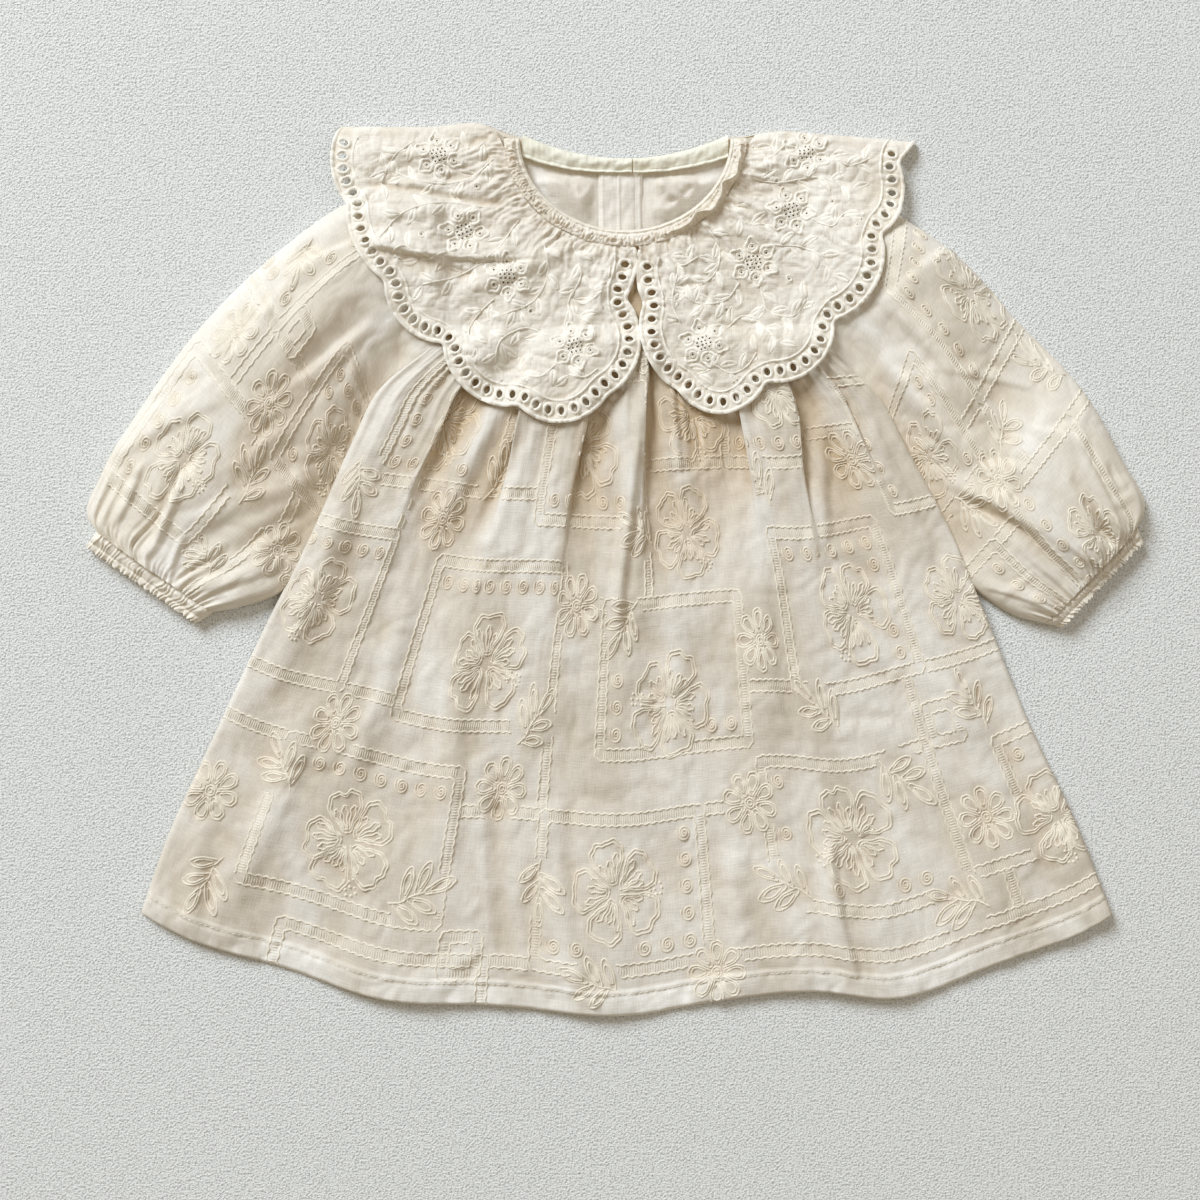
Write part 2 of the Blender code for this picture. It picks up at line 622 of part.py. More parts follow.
def main():
    remove_everything()
    cloth = cotton("embroidered_cotton", (0.84, 0.77, 0.66))
    collar = cotton("openwork_cotton", (0.88, 0.83, 0.74))
    binding = cotton("bias_binding", (0.79, 0.76, 0.56))
    shell = cotton("shell_button", (0.85, 0.82, 0.74))
    make_skirt(cloth)
    make_yokes(cloth)
    make_sleeve("sleeve_left", SLEEVE_LEFT_UPPER, SLEEVE_LEFT_LOWER, cloth)
    make_sleeve("sleeve_right", SLEEVE_RIGHT_UPPER, SLEEVE_RIGHT_LOWER, cloth)
    make_cuff("cuff_left", SLEEVE_LEFT_UPPER[-1], SLEEVE_LEFT_LOWER[-1], CUFF_LEFT, cloth)
    make_cuff("cuff_right", SLEEVE_RIGHT_UPPER[-1], SLEEVE_RIGHT_LOWER[-1], CUFF_RIGHT, cloth)
    make_neck(collar, binding)
    make_collar("collar_left", COLLAR_LEFT, COLLAR_FOLD_LEFT, -1.0, (85.0, 6.0), collar)
    make_collar("collar_right", COLLAR_RIGHT, COLLAR_FOLD_RIGHT, 1.0, (96.0, 174.0), collar)
    make_buttons(shell)


main()
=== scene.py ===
"""A long-sleeved baby dress of embroidered cotton, laid flat with its front up.

Sizes are in millimetres until a mesh is made. X runs to the right, Y to the neck and Z up from the board.
"""

import bpy
import numpy as np
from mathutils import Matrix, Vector


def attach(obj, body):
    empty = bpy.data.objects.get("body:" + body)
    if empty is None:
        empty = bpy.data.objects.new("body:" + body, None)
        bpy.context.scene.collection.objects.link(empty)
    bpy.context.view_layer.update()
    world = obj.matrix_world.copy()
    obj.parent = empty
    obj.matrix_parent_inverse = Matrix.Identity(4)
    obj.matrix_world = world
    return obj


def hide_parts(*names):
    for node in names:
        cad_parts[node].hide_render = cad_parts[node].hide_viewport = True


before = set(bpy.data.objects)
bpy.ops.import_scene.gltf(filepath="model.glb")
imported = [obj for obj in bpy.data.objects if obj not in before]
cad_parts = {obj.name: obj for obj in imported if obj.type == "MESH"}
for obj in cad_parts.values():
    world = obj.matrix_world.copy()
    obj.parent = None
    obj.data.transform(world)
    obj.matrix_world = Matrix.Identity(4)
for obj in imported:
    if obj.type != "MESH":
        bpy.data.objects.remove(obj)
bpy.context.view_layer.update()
MM = 0.001

# ---------------------------------------------------------------- the board and the light
# The dress lies on a pale painted board with a fine stippled skin. A wide soft light stands above its top
# left corner, the room gives the rest, and the camera looks straight down.


def linear(code):
    """A hex sRGB colour as linear RGBA: each channel through the sRGB curve."""
    part = np.array([int(code[i : i + 2], 16) for i in (1, 3, 5)]) / 255
    return (*np.where(part <= 0.04045, part / 12.92, ((part + 0.055) / 1.055) ** 2.4), 1)


def set_inputs(node, inputs):
    """Sets a node's inputs, or links them where the value is another node's output."""
    for name, value in inputs.items():
        if isinstance(value, bpy.types.NodeSocket):
            node.id_data.links.new(value, node.inputs[name])
        else:
            node.inputs[name].default_value = value


def add_node(material, kind, output, inputs={}, **settings):
    """Adds one shader node, sets its own fields and its inputs, and returns the named output."""
    node = material.node_tree.nodes.new("ShaderNode" + kind)
    for field, value in settings.items():
        setattr(node, field, value)
    set_inputs(node, inputs)
    return node.outputs[output]


def mixed(material, share, first, second, blend="MIX"):
    """The first colour with a share of the second one in it."""
    inputs = {"Factor": share, "A": first, "B": second}
    return add_node(material, "Mix", "Result", inputs, data_type="RGBA", blend_type=blend)


def new_material(name, inputs):
    """A named material with its shader's inputs set. Returns the material and its shader."""
    material = bpy.data.materials.new(name)
    material.use_nodes = True
    shader = material.node_tree.nodes["Principled BSDF"]
    set_inputs(shader, inputs)
    return material, shader


def new_piece(name, points, faces, material, uv=None, painted_shade=None):
    """Puts points in millimetres and rows of face corners into a smooth mesh object at the origin. The last
    argument gives each point from 0 to 1 of painted warm shade, most where it lies deep between folds."""
    corners = np.concatenate([rows.ravel() for rows in faces]).astype(np.int32)
    sides = np.concatenate([np.full(len(rows), rows.shape[1]) for rows in faces])
    mesh = bpy.data.meshes.new(name)
    mesh.vertices.add(len(points))
    mesh.vertices.foreach_set("co", (points * MM).ravel())
    mesh.loops.add(len(corners))
    mesh.loops.foreach_set("vertex_index", corners)
    mesh.polygons.add(len(sides))
    mesh.polygons.foreach_set("loop_start", np.concatenate([[0], np.cumsum(sides)[:-1]]).astype(np.int32))
    mesh.polygons.foreach_set("use_smooth", np.ones(len(sides), bool))
    if uv is not None:
        mesh.uv_layers.new(name="cloth").data.foreach_set("uv", uv[corners].ravel())
    if painted_shade is not None:
        mesh.attributes.new("painted_shade", "FLOAT", "POINT").data.foreach_set("value", painted_shade.ravel())
    mesh.materials.append(material)
    mesh.update(calc_edges=True)
    mesh.validate()
    item = bpy.data.objects.new(name, mesh)
    bpy.context.scene.collection.objects.link(item)
    return item


def quads(rows, columns, wraps=False):
    """Face corners of a grid of rows and columns, facing up where x grows along a row and y falls by row."""
    index = np.arange(rows * columns).reshape(rows, columns)
    if wraps:
        index = np.hstack([index, index[:, :1]])
    return np.stack([index[1:, :-1], index[1:, 1:], index[:-1, 1:], index[:-1, :-1]], axis=-1).reshape(-1, 4)


# The grain of the board is about 1 mm across: pebbles with small pits between them. The pits are painted dark
# where the bump is low: painted shade.
board_paint, board_shader = new_material("stippled_emulsion_paint", {"Roughness": 0.75})
board_place = add_node(board_paint, "TexCoord", "Object")
grain_inputs = {"Vector": board_place, "Scale": 930, "Detail": 2, "Roughness": 0.6}
grains = add_node(board_paint, "TexNoise", "Fac", grain_inputs)
blots = add_node(board_paint, "TexNoise", "Fac", {"Vector": board_place, "Scale": 6, "Detail": 2})
board_tone = add_node(board_paint, "ValToRGB", "Color", {"Fac": grains})
for stop, place, code in zip(board_tone.node.color_ramp.elements, (0.36, 0.50), ("#A1A4A1", "#F1F3EF")):
    stop.position = place
    stop.color = linear(code)
board_wash = mixed(board_paint, blots, linear("#E2E4E2"), linear("#E9EBE9"))
board_bump = add_node(board_paint, "Bump", "Normal", {"Height": grains, "Strength": 1, "Distance": 0.0011})
board_colour = mixed(board_paint, 0.5, board_tone, board_wash)
set_inputs(board_shader, {"Base Color": board_colour, "Normal": board_bump})
board_x, board_y = np.meshgrid((-1500, 0, 1500), (1500, 0, -1500))
board_points = np.stack([board_x.ravel(), board_y.ravel(), np.full(9, -0.05)], axis=1)
board = new_piece("board", board_points, [quads(3, 3)], board_paint)

world = bpy.data.worlds.new("soft_room")
world.use_nodes = True
set_inputs(world.node_tree.nodes["Background"], {"Color": linear("#F7E3C3"), "Strength": 0.33})
bpy.context.scene.world = world
bpy.context.scene.view_settings.view_transform = "Standard"

for lamp_name, place, size, power in (
    ("window_light", (-2.8, 3.5, 3.3), 2.2, 350),
    ("bounce_light", (2, 0.5, 2.6), 3, 20),
):
    lamp = bpy.data.lights.new(lamp_name, "AREA")
    lamp.size = size
    lamp.energy = power
    lamp.color = linear("#EBF3FE")[:3]
    stand = bpy.data.objects.new(lamp_name, lamp)
    bpy.context.scene.collection.objects.link(stand)
    stand.location = place
    stand.rotation_euler = (-Vector(place)).to_track_quat("-Z", "Y").to_euler()

VIEW_WIDTH = 0.5796  # metres across the picture, level with the cloth
camera_data = bpy.data.cameras.new("camera")
camera_data.lens = 50
camera = bpy.data.objects.new("camera", camera_data)
camera.location = (-0.0070, -0.0145, VIEW_WIDTH * camera_data.lens / camera_data.sensor_width + 0.003)
bpy.context.scene.collection.objects.link(camera)
bpy.context.scene.camera = camera

# ---------------------------------------------------------------- the skirt
# The skirt is two A-line panels of thin cream cotton lawn, front and back, sewn at the sides and gathered
# into the yoke. The front falls in pressed pleats from the gathers, which open out towards the turned hem.


def steps_of(line):
    """The lengths of a line's steps."""
    return np.linalg.norm(np.diff(line, axis=0), axis=1)


def even(line, count):
    """Points at even steps along a line of points."""
    line = np.asarray(line, float)
    reach = np.concatenate([[0], np.cumsum(steps_of(line))])
    stops = np.linspace(0, reach[-1], count)
    return np.stack([np.interp(stops, reach, line[:, k]) for k in range(line.shape[1])], axis=1)


def rounded(points, count=401, fine=24):
    """Even points on a smooth curve through the given ones, a cubic between each two of them."""
    points = np.asarray(points, float)
    reach = np.concatenate([[0], np.cumsum(steps_of(points))])
    slope = np.gradient(points, reach, axis=0)
    at = np.linspace(0, reach[-1], fine * len(points))
    i = np.clip(np.searchsorted(reach, at, side="right") - 1, 0, len(points) - 2)
    step = (reach[i + 1] - reach[i])[:, None]
    t = (at - reach[i])[:, None] / step
    curve = (1 + 2 * t) * (1 - t) ** 2 * points[i] + t * (1 - t) ** 2 * step * slope[i]
    curve = curve + t * t * (3 - 2 * t) * points[i + 1] + t * t * (t - 1) * step * slope[i + 1]
    return even(curve, count)


def on_curve(curve, share):
    """Points at shares of an evenly stepped curve, between its own points by proportion."""
    stops = np.linspace(0, 1, len(curve))
    return np.stack([np.interp(share, stops, curve[:, k]) for k in range(curve.shape[1])], axis=-1)


def between_edges(u, v, top, bottom, left, right):
    """A point inside four edge curves (a Coons patch): the two ruled surfaces added, less the corners'
    one."""
    u1, v1 = u[..., None], v[..., None]
    rows = on_curve(top, u) * (1 - v1) + on_curve(bottom, u) * v1
    columns = on_curve(left, v) * (1 - u1) + on_curve(right, v) * u1
    corners = (1 - v1) * ((1 - u1) * top[0] + u1 * top[-1]) + v1 * ((1 - u1) * bottom[0] + u1 * bottom[-1])
    return rows + columns - corners


def soft(low, high, value):
    """0 below low, 1 above high and a smooth slope between."""
    t = np.clip((value - low) / (high - low), 0, 1)
    return t * t * (3 - 2 * t)


def hump(t):
    """1 in the middle, falling as a cosine squared to 0 at a distance of 1 and beyond."""
    return np.cos(np.clip(t, -1, 1) * np.pi / 2) ** 2


def rolled(distance, radius):
    """0 at distance 0, 1 from the radius on, and a quarter of a circle between: the profile of a folded
    edge."""
    return np.sqrt(1 - (1 - np.clip(distance / radius, 0, 1)) ** 2)


def uneven(x, y, seed):
    """Smooth random heights from about -1 to 1: slopes drawn at whole numbers, blended between them
    (Perlin)."""
    turn = np.random.default_rng(seed).uniform(0, 2 * np.pi, (64, 64))
    i, j = np.floor(x).astype(int), np.floor(y).astype(int)
    a, b = x - i, y - j
    fade_a, fade_b = a**3 * (a * (a * 6 - 15) + 10), b**3 * (b * (b * 6 - 15) + 10)
    total = 0
    for di, dj in ((0, 0), (1, 0), (0, 1), (1, 1)):
        angle = turn[(i + di) % 64, (j + dj) % 64]
        weight = (fade_a if di else 1 - fade_a) * (fade_b if dj else 1 - fade_b)
        total = total + weight * (np.cos(angle) * (a - di) + np.sin(angle) * (b - dj))
    return total * 1.5


def smoothed(heights, reach):
    """A grid of heights averaged over a bell reaching that many cells each way."""
    bell = np.hanning(2 * reach + 3)[1:-1]
    bell /= bell.sum()
    for axis in (0, 1):
        heights = np.apply_along_axis(
            lambda line: np.convolve(np.pad(line, reach, mode="edge"), bell, mode="valid"), axis, heights
        )
    return heights


def crumpled(x, y, size, seed):
    """Rounded bumps of height up to 1 between sharp creases: the absolute value of a smooth random height,
    whose places are themselves shifted by another."""
    warp = 0.5 * uneven(x / size / 2, y / size / 2, seed + 50)
    return np.abs(uneven(x / size + warp, y / size - warp, seed)) * 2


def between_cells(table, a, b):
    """Values of a table at row a and column b, between its own cells by proportion."""
    a, b = np.clip(a, 0, table.shape[0] - 1.001), np.clip(b, 0, table.shape[1] - 1.001)
    i, j = a.astype(int), b.astype(int)
    a, b = a - i, b - j
    upper = table[i, j] * (1 - b) + table[i, j + 1] * b
    lower = table[i + 1, j] * (1 - b) + table[i + 1, j + 1] * b
    return upper * (1 - a) + lower * a


def creases(x, y, rows):
    """Long soft ridges, or troughs where the height is negative. A row gives the two ends x, y and x, y, the
    width on the left and on the right of the way there, and the height. Across a ridge the height is a cosine
    bump with its own width on each side, and along it it fades towards both ends."""
    total = np.zeros(np.broadcast(x, y).shape)
    for x0, y0, x1, y1, left, right, height in rows:
        dx, dy = x1 - x0, y1 - y0
        length = np.hypot(dx, dy)
        along = ((x - x0) * dx + (y - y0) * dy) / length**2
        across = ((x - x0) * dy - (y - y0) * dx) / length + 0.04 * length * np.sin(3 * along + x0)
        ends = np.clip(1 - (2 * along - 1) ** 4, 0, 1)
        total = total + height * ends * hump(np.where(across < 0, across / left, across / right))
    return total


SKIRT_LEFT = rounded([
    (-85, 110.5), (-91, 105.5), (-114.2, 86), (-126.8, 60.9), (-146.6, 16.4), (-171.2, -32.4),
    (-195.9, -84.5),
    (-215.7, -127.5), (-229.4, -166),
])
SKIRT_RIGHT = rounded([
    (98.5, 110.5), (104.5, 105), (127.3, 83.1), (141.8, 57), (160.5, 22), (179, -21.7), (198.8, -70),
    (223.9, -123.6), (241, -166.8),
])
HEM = rounded([
    (-229.4, -166), (-212.3, -175.8), (-156.7, -193.7), (-113.7, -207.7), (-60.1, -210.8), (10.4, -215.5),
    (45.2, -209.6), (98.8, -204.3), (134.5, -207.7), (188.1, -189.8), (228, -174.5), (241, -166.8),
])
YOKE_SEAM = even([SKIRT_LEFT[0], SKIRT_RIGHT[0]], 401)
SKIRT_CLOTH = (490, 318)  # width and length of the panel as cut
HEM_DEPTH = 12
SIDE_HEIGHT = 1.4  # of the side seams over the board, where they lie on nothing else
PLEATS = (
    # share across at the seam, at the hem, half width (share), pull at the top, side that lies on top,
    # height, and how wide that side stands up (share)
    (0.130, 0.110, 0.036, 1.40, 1, 5.2, 0.13),
    (0.284, 0.242, 0.030, 1.90, -1, 5.4, 0.15),
    (0.420, 0.350, 0.030, 2.00, 1, 5.8, 0.15),
    (0.545, 0.470, 0.022, 1.40, 1, 5.2, 0.075),
    (0.712, 0.668, 0.030, 1.90, -1, 5.6, 0.15),
    (0.842, 0.705, 0.030, 2.00, 1, 6.2, 0.15),
    (0.945, 0.905, 0.022, 1.20, 1, 4.2, 0.06),
)
PLEAT_FADE = ((0, 0.16, 0.26, 0.38, 0.60, 1), (1, 0.92, 0.50, 0.20, 0.06, 0.02))  # shares down, strength
PLEAT_RISE = ((0, 0.16, 0.30, 0.50, 0.70, 1), (1, 0.95, 0.72, 0.50, 0.36, 0.28))
SKIRT_CREASES = (
    (8, 92, 6, -40, 5, 6, 3.6), (-47, 88, -84, 20, 8, 11, 3), (-42, 78, -62, 14, 7, 6, -2.2),
    (-62, 96, -96, 30, 6, 8, -1.6), (29, 98, 31, 34, 8, 9, 2), (50, 96, 56, 36, 7, 6, -1.6),
    (-4, 96, -8, 20, 6, 7, -1.4), (-126, 40, -168, -60, 12, 10, 2.2), (-150, -60, -185, -170, 12, 16, 2.6),
    (-28, -110, -18, -205, 9, 20, 2.8), (-52, -90, -58, -200, 12, 7, -2), (104, -130, 116, -200, 5, 10, 2.6),
    (56, 30, 72, -90, 14, 16, 2.2), (150, -20, 196, -150, 12, 12, 2.4), (-100, 0, -128, -110, 12, 10, 2.4),
    (124, 74, 150, 0, 7, 10, 2.6), (96, 80, 104, 10, 6, 8, 2.2), (20, 10, 34, -120, 12, 14, 1.8),
    (-80, -40, -76, -140, 9, 12, 2), (-196, -120, -208, -176, 8, 8, 1.8), (168, -110, 190, -186, 8, 9, 2),
    (60, -130, 64, -204, 10, 9, 1.8),
)


def skirt_place(u, v):
    """Where shares u across and v down lie in the skirt's outline, and how far that is from the nearer
    side."""
    width = np.linalg.norm(on_curve(SKIRT_RIGHT, v) - on_curve(SKIRT_LEFT, v), axis=-1)
    return between_edges(u, v, YOKE_SEAM, HEM, SKIRT_LEFT, SKIRT_RIGHT), np.minimum(u, 1 - u) * width


def skirt_foot(v):
    """How high the skirt's sides lie: up on the sleeves near the yoke, and low further down."""
    return SIDE_HEIGHT + 3.4 * (1 - soft(0.40, 0.72, v))


def skirt_share(s, v):
    """Where cloth share s lies across the front skirt: the cloth runs back on itself at each pleat."""
    def pulled(share):
        """The share, less what each pleat takes up: a smooth step down as wide as the pleat."""
        total = share
        for seam, hem, half, pull, _, _, _ in PLEATS:
            t = np.clip((share - (seam + (hem - seam) * v)) / half, -1, 1)
            strength = pull * np.interp(v, *PLEAT_FADE)
            total = total - strength * half * (t / 2 + np.sin(np.pi * t) / (2 * np.pi) + 0.5)
        return total

    low, high = pulled(np.zeros_like(s)), pulled(np.ones_like(s))
    return (pulled(s) - low) / (high - low)


def skirt_front(x, y):
    """Surface of the front skirt at cloth place x across and y down, in millimetres from the panel's top
    left: pleats, gathers at the seam, waves, crumples and long creases, and the step of the turned hem."""
    s, v = x / SKIRT_CLOTH[0], y / SKIRT_CLOTH[1]
    flat, side = skirt_place(skirt_share(s, v), v)
    place_x, place_y = flat[..., 0], flat[..., 1]
    height = np.zeros(s.shape)
    slack = 2.2 * soft(0.14, 0.50, v)  # a pleat's sharp side opens out as the pleat dies away
    for seam, hem, half, _, on_top, rise, wide in PLEATS:
        t = on_top * (s - (seam + (hem - seam) * v)) / half
        fall, run = 1 - soft(-0.55, 0.60 + slack, t), 1 - 0.9 * soft(0, wide / half, -0.55 - t)
        height = np.maximum(height, rise * np.interp(v, *PLEAT_RISE) * np.where(t > -0.55, fall, run))
    gathers = 1.6 * uneven(s * 62, v * 3, 3) + 1.2 * uneven(s * 120, v * 4, 4)
    height = height + gathers * (1 - soft(0.02, 0.34, v))
    height = height + 1.2 * uneven(s * 21, v * 2.6, 5) * (0.35 + 0.65 * (1 - soft(0.1, 0.6, v)))
    height = height + 1.5 * uneven(place_x / 40, place_y / 52, 6)
    height = height + 0.8 * crumpled(place_x + place_y / 3, place_y, 30, 7)
    height = height + 0.42 * crumpled(place_x - place_y / 4, place_y, 12, 8)
    height = height + 0.12 * uneven(x / 4.4, y / 4.1, 13)
    height = height + 0.22 * crumpled(place_x + place_y / 6, place_y / 2.6, 6.5, 21)
    height = height + creases(place_x, place_y, SKIRT_CREASES)
    waves = 1.5 + 1.5 * np.sin(2 * np.pi * (s * 4.3 + 0.12)) + 0.8 * uneven(s * 12, v, 9)
    height = height + waves * soft(0.62, 1, v) * 0.7
    near_hem = SKIRT_CLOTH[1] - y
    turned_up = 1 - soft(HEM_DEPTH - 0.6, HEM_DEPTH + 0.6, near_hem)
    stitch_line = np.exp(-(((near_hem - HEM_DEPTH + 2.4) / 0.9) ** 2))
    height = height + (0.9 + 0.5 * uneven(x / 5, y / 9, 14)) * turned_up
    height = height - (0.35 + 0.6 * uneven(x / 3.6, y / 4, 15)) * stitch_line
    z = skirt_foot(v) * (1 - soft(8, 24, side) * 0.6) + (1.4 + np.maximum(height, -0.6)) * rolled(side, 3)
    return np.stack([place_x, place_y, z * (1 - 0.75 * (1 - soft(0, 1.6, near_hem)))], axis=-1)


def cotton_lawn(name, deep, pale, thread=1):
    """Plain-weave cotton. To the eye it is matt, with slubs along both threads and a few dark seed specks. It
    is paler in wide patches where it lies close on the layer under it, and light that comes through it is
    warm. The true threads, 0.3 mm apart, are drawn three times as coarse."""
    looks = {"Roughness": 0.7, "Sheen Weight": 0.08, "Sheen Roughness": 0.4, "Specular IOR Level": 0.25}
    material, shader = new_material(name, looks)
    place = add_node(material, "UVMap", "UV", uv_map="cloth")
    slubs = []
    for scale in ((160, 1500, 1000), (1500, 160, 1000)):
        scaling = {"Vector": place, "Scale": [k * thread for k in scale]}
        turned = add_node(material, "Mapping", "Vector", scaling)
        slubs.append(add_node(material, "TexNoise", "Fac", {"Vector": turned, "Scale": 1, "Detail": 1}))
    weave = add_node(material, "Math", "Value", {0: slubs[0], 1: slubs[1]}, operation="ADD")
    drawn = add_node(material, "Mapping", "Vector", {"Vector": place, "Scale": (1.6, 0.8, 1)})
    wide = {"Vector": drawn, "Scale": 13, "Detail": 2.5, "Distortion": 0.6}
    noise = add_node(material, "TexNoise", "Fac", wide)
    clouds = add_node(material, "MapRange", "Result", {"Value": noise, "From Min": 0.40, "From Max": 0.62})
    clean = mixed(material, clouds, linear(deep), linear(pale))
    # Painted shade: the colour goes towards a warm tan as far as each point's painted shade value says, for
    # the warm light between folds and layers.
    depth = add_node(material, "Attribute", "Fac", attribute_name="painted_shade")
    tone = mixed(material, depth, clean, linear("#CDB48D"))
    span = {"Value": weave, "From Min": 0.75, "From Max": 1.25, "To Min": 0.93, "To Max": 1.05}
    woven = mixed(material, 1, tone, add_node(material, "MapRange", "Result", span), "MULTIPLY")
    cells = add_node(material, "TexVoronoi", "Distance", {"Vector": place, "Scale": 38})
    speck = add_node(material, "Math", "Value", {0: cells, 1: 0.012}, operation="LESS_THAN")
    bump = add_node(material, "Bump", "Normal", {"Height": weave, "Strength": 0.55, "Distance": 0.00022})
    set_inputs(shader, {"Base Color": mixed(material, speck, woven, linear("#A98C66")), "Normal": bump})
    through = add_node(material, "BsdfTranslucent", "BSDF", {"Color": linear("#EBD5AE"), "Normal": bump})
    both = add_node(material, "MixShader", "Shader", {0: 0.16, 1: shader.outputs["BSDF"], 2: through})
    set_inputs(material.node_tree.nodes["Material Output"], {"Surface": both})
    return material


def sheet_piece(name, surface, across, down, material, flip=False, deepen=None):
    """A sheet over a grid of cloth places, its UVs being those places in metres. Points that lie low among
    their neighbours get a painted warm shade, standing in for the warm light that has been through and
    between the layers. The function deepen may change that. Returns the piece and a function giving the
    painted shade at a cloth place."""
    x, y = np.meshgrid(across, down)
    points = surface(x, y)
    # Painted shade: how far each point lies below its smoothed neighbours.
    low = smoothed(points[..., 2], 13) - points[..., 2]
    painted_shade = np.clip(low / 3.4, 0, 0.7)
    if deepen:
        painted_shade = deepen(x, y, points[..., 2], painted_shade)
    painted_shade = smoothed(painted_shade, 3)
    faces = quads(len(down), len(across))
    uv = np.stack([x.ravel(), down[-1] - y.ravel()], axis=1) * MM

    def shade(x, y):
        """How much painted shade the cloth has at a place."""
        row, column = np.interp(y, down, np.arange(len(down))), np.interp(x, across, np.arange(len(across)))
        return between_cells(painted_shade, row, column)

    faces = [faces[:, ::-1] if flip else faces]
    return new_piece(name, points.reshape(-1, 3), faces, material, uv, painted_shade), shade


def pleat_valleys(x, y, z, painted_shade):
    """The front skirt's painted shade: also painted between its pleats, most near the collar, and never along
    its edges. The single cloth above the hem takes a little of the same warm tone, as it is a little warmer
    than the turned hem, which lets less light through."""
    between = 0.68 * np.clip((8 - z) / 3.4, 0, 1) * (1 - soft(0.10, 0.50, y / SKIRT_CLOTH[1]))
    edge = soft(3, 18, np.minimum(x, SKIRT_CLOTH[0] - x)) * soft(2, 16, SKIRT_CLOTH[1] - y)
    single = 0.10 * soft(HEM_DEPTH - 0.6, HEM_DEPTH + 0.6, SKIRT_CLOTH[1] - y)
    return np.maximum(painted_shade, between) * edge + single


def skirt_back(x, y):
    """Surface of the back skirt: level, a little above the board, and turned up at both sides."""
    u, v = x / SKIRT_CLOTH[0], y / SKIRT_CLOTH[1]
    flat, side = skirt_place(u, v)
    foot = skirt_foot(v)
    lift = (foot - SIDE_HEIGHT) * (1 - soft(9, 19, side))
    meet = foot * (1 - soft(0, 3, side))
    return np.dstack([flat, np.maximum(0.35 + lift + 0.12 * uneven(u * 24, v * 4, 12), meet)])


def sewn_in(piece, slot, node=None, **cut):
    """Puts a piece on the dress's one rigid body and hides the CAD node that it stands for. The slot and the
    sheet's cut are not used."""
    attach(piece, "root")
    if node:
        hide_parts(node)


lawn = cotton_lawn("cream_cotton_lawn", "#E4DDCE", "#FAF8F0")
skirt_rows = np.concatenate([
    np.linspace(0, SKIRT_CLOTH[1] - 18, 196)[:-1],
    np.linspace(SKIRT_CLOTH[1] - 18, SKIRT_CLOTH[1] - 2, 26),
    SKIRT_CLOTH[1] - np.array([1.2, 0.6, 0.25, 0]),
])
front_skirt, skirt_shade = sheet_piece(
    "front_skirt_cloth", skirt_front, np.linspace(0, SKIRT_CLOTH[0], 351), skirt_rows, lawn,
    deepen=pleat_valleys
)
edge_columns = np.linspace(0, 16, 12)  # closer columns near each side, where the cloth turns up
back_columns = np.concatenate([
    edge_columns[:-1], np.linspace(16, SKIRT_CLOTH[0] - 16, 90), SKIRT_CLOTH[0] - edge_columns[-2::-1]
])
back_skirt, _ = sheet_piece(
    "back_skirt_cloth", skirt_back, back_columns, np.linspace(0, SKIRT_CLOTH[1], 90), lawn, flip=True
)
sewn_in(front_skirt, "embroidered_cotton", "front_skirt")
sewn_in(back_skirt, "embroidered_cotton", "back_skirt")

# ---------------------------------------------------------------- the corded embroidery of the skirt
# Cream cotton cord is couched on the lawn: ladder-filled frames, rolled rosettes along them, five-petalled
# flowers with satin-dotted stamens, daisies and leaf sprigs. It stands about half a millimetre proud.


def unit(ways):
    """Vectors of length 1 that point the same ways."""
    return ways / (np.linalg.norm(ways, axis=-1, keepdims=True) + 1e-9)


def lay_cords(name, bundles, surface, material, handed=1, shade=None):
    """Cords on a cloth surface. A bundle holds paths of cloth places (paths, points, 2), a width and a height
    for each point, and which points are kept. A section is an arch of three points: foot, crest, foot, square
    to the path and standing along the cloth's normal; both ends close to a low point. Handed is -1 where the
    cloth's places run the other way round. Shade gives the cloth's painted shade at a place, which the cords
    take on as painted shade of their own, and a bundle may add a value of its own to it."""
    all_points, all_faces, all_shades, count = [], [], [], 0
    for paths, wide, high, kept, *own in bundles:
        x, y = paths[..., 0], paths[..., 1]
        # Painted shade for the cords: most of the cloth's painted shade under them, and the bundle's own.
        depth = (0.8 * shade(x, y) if shade else 0 * x) + sum(own)
        all_shades.append(np.repeat(depth.ravel(), 3))
        centre = surface(x, y)
        across = surface(x + 0.4, y) - surface(x - 0.4, y)
        down = surface(x, y + 0.4) - surface(x, y - 0.4)
        normal = unit(np.cross(down, across) * handed)
        kept = kept & (np.linalg.norm(across, axis=-1) > 0.3)  # none shows where the cloth is folded away
        side = unit(np.cross(np.gradient(centre, axis=1), normal))
        ends = np.ones(paths.shape[1])
        ends[[0, -1]] = 0.35
        foot = side * (wide * ends / 2)[..., None]
        sink = normal * 0.06
        crest = centre + normal * (high * ends)[..., None]
        arch = np.stack([centre - foot - sink, crest, centre + foot - sink], axis=2)
        all_points.append(arch.reshape(-1, 3))
        index = count + np.arange(x.size * 3).reshape(*x.shape, 3)
        both = kept[:, :-1] & kept[:, 1:]
        for k in (0, 1):
            corners = [index[:, :-1, k], index[:, :-1, k + 1], index[:, 1:, k + 1], index[:, 1:, k]]
            all_faces.append(np.stack(corners, axis=-1)[both])
        count += x.size * 3
    faces = np.concatenate(all_faces)
    used, compact = np.unique(faces, return_inverse=True)
    points, painted_shade = np.concatenate(all_points)[used], np.concatenate(all_shades)[used]
    faces = compact.reshape(faces.shape)
    return new_piece(name, points, [faces if handed > 0 else faces[:, ::-1]], material, painted_shade=painted_shade)


